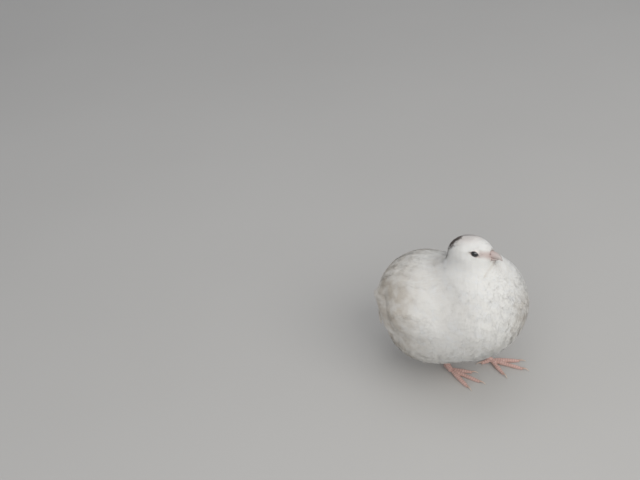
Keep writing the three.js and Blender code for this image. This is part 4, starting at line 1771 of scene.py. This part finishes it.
def make_eye(side):
    """A ball with a slight cornea, its pole along the gaze."""
    form = bmesh.new()
    bmesh.ops.create_uvsphere(form, u_segments=64, v_segments=40, radius=1)
    gaze, long_axis, _ = eye_frame(side)
    axes = np.array([long_axis, np.cross(gaze, long_axis), gaze])
    local = np.array([vertex.co[:] for vertex in form.verts])
    angle = np.arccos(np.clip(local[:, 2], -1, 1))
    cornea = CORNEA["proud"] * smooth_step(CORNEA["edge"], CORNEA["full"], angle)
    radius = EYE_RADIUS * (EYEBALL + cornea)
    points = EYES[side] + (local * radius[:, None]) @ axes
    for vertex, point in zip(form.verts, points):
        vertex.co = point
    for face in form.faces:
        face.smooth = True
    mesh = bpy.data.meshes.new(f"eyeball_{side}")
    form.to_mesh(mesh)
    form.free()
    set_attribute(mesh, "along", angle / math.radians(90))
    piece = add_piece(mesh, [eye_material()])
    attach(piece, "root")
    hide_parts(f"eye_{side}")


# Claws

CLAW = {"rows": 18, "round": 14, "root": 0.82 * MM, "tip": 0.16 * MM, "start": 1.25 * MM, "arch": 0.95 * MM}


def claw_rings(line, across):
    """Sections along a claw: narrower towards the tip, taller than wide and flatter below."""
    rings = []
    for row, place in enumerate(line):
        t = row / (CLAW["rows"] - 1)
        radius = mix(CLAW["root"], CLAW["tip"], t ** 0.85) * (1 - 2.5 * max(t - 0.9, 0))
        ahead = unit(line[min(row + 1, len(line) - 1)] - line[max(row - 1, 0)])
        over = np.cross(ahead, across)
        ring = []
        for i in range(CLAW["round"]):
            turn = 2 * math.pi * i / CLAW["round"]
            tall = 0.82 if math.cos(turn) < 0 else 1.0
            ring.append(place + (across * math.sin(turn) * 0.85 + over * math.cos(turn) * tall) * radius)
        rings.append(ring)
    return np.array(rings)


def make_claw(toe, side, material):
    """A curved, narrowing claw from inside the toe's end to a tip on the floor."""
    points = node_points(f"claw_{toe}_{side}")
    reach = distance_to(points[:, :2], FEET[side][:2])
    near = points[reach.argmin()]
    far = points[reach.argmax()]
    heading = unit(far[:2] - FEET[side][:2])
    start = np.array([near[0], near[1], CLAW["start"]])
    tip = np.array([far[0], far[1], CLAW["tip"]])
    arch = mix(start, tip, 0.55) + np.array([0, 0, CLAW["arch"]])
    line = curve_through([start, arch, tip], CLAW["rows"] - 1)
    points, faces = loft(claw_rings(line, np.array([-heading[1], heading[0], 0])))
    points[:, 2] = np.maximum(points[:, 2], 0)
    mesh = new_mesh(f"nail_{toe}_{side}", points, faces)
    along = distance_to(points, start) / np.linalg.norm(tip - start)
    set_attribute(mesh, "along", np.clip(along, 0, 1))
    piece = add_piece(mesh, [material])
    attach(piece, "root")
    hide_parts(f"claw_{toe}_{side}")


# The whole bird

make_camera()
make_lights()
make_floor()

skin, skin_points = make_skin()
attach(skin, "root")
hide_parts("trunk", "neck", "head")
for side_name in SIDES:
    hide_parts(f"thigh_{side_name}", f"shank_{side_name}")
    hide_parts(*[f"toe_{toe}_{side_name}" for toe in TOES])

bake_map = BakeMap(skin.data)
make_coat(skin_points, bake_map)
make_wings(bake_map)
make_tail(bake_map)

bill_piece("bill_top", "upper")
bill_piece("bill_bottom", "lower")
for side_name in SIDES:
    make_eye(side_name)
horn = claw_material()
for side_name in SIDES:
    for toe_name in TOES:
        make_claw(toe_name, side_name, horn)
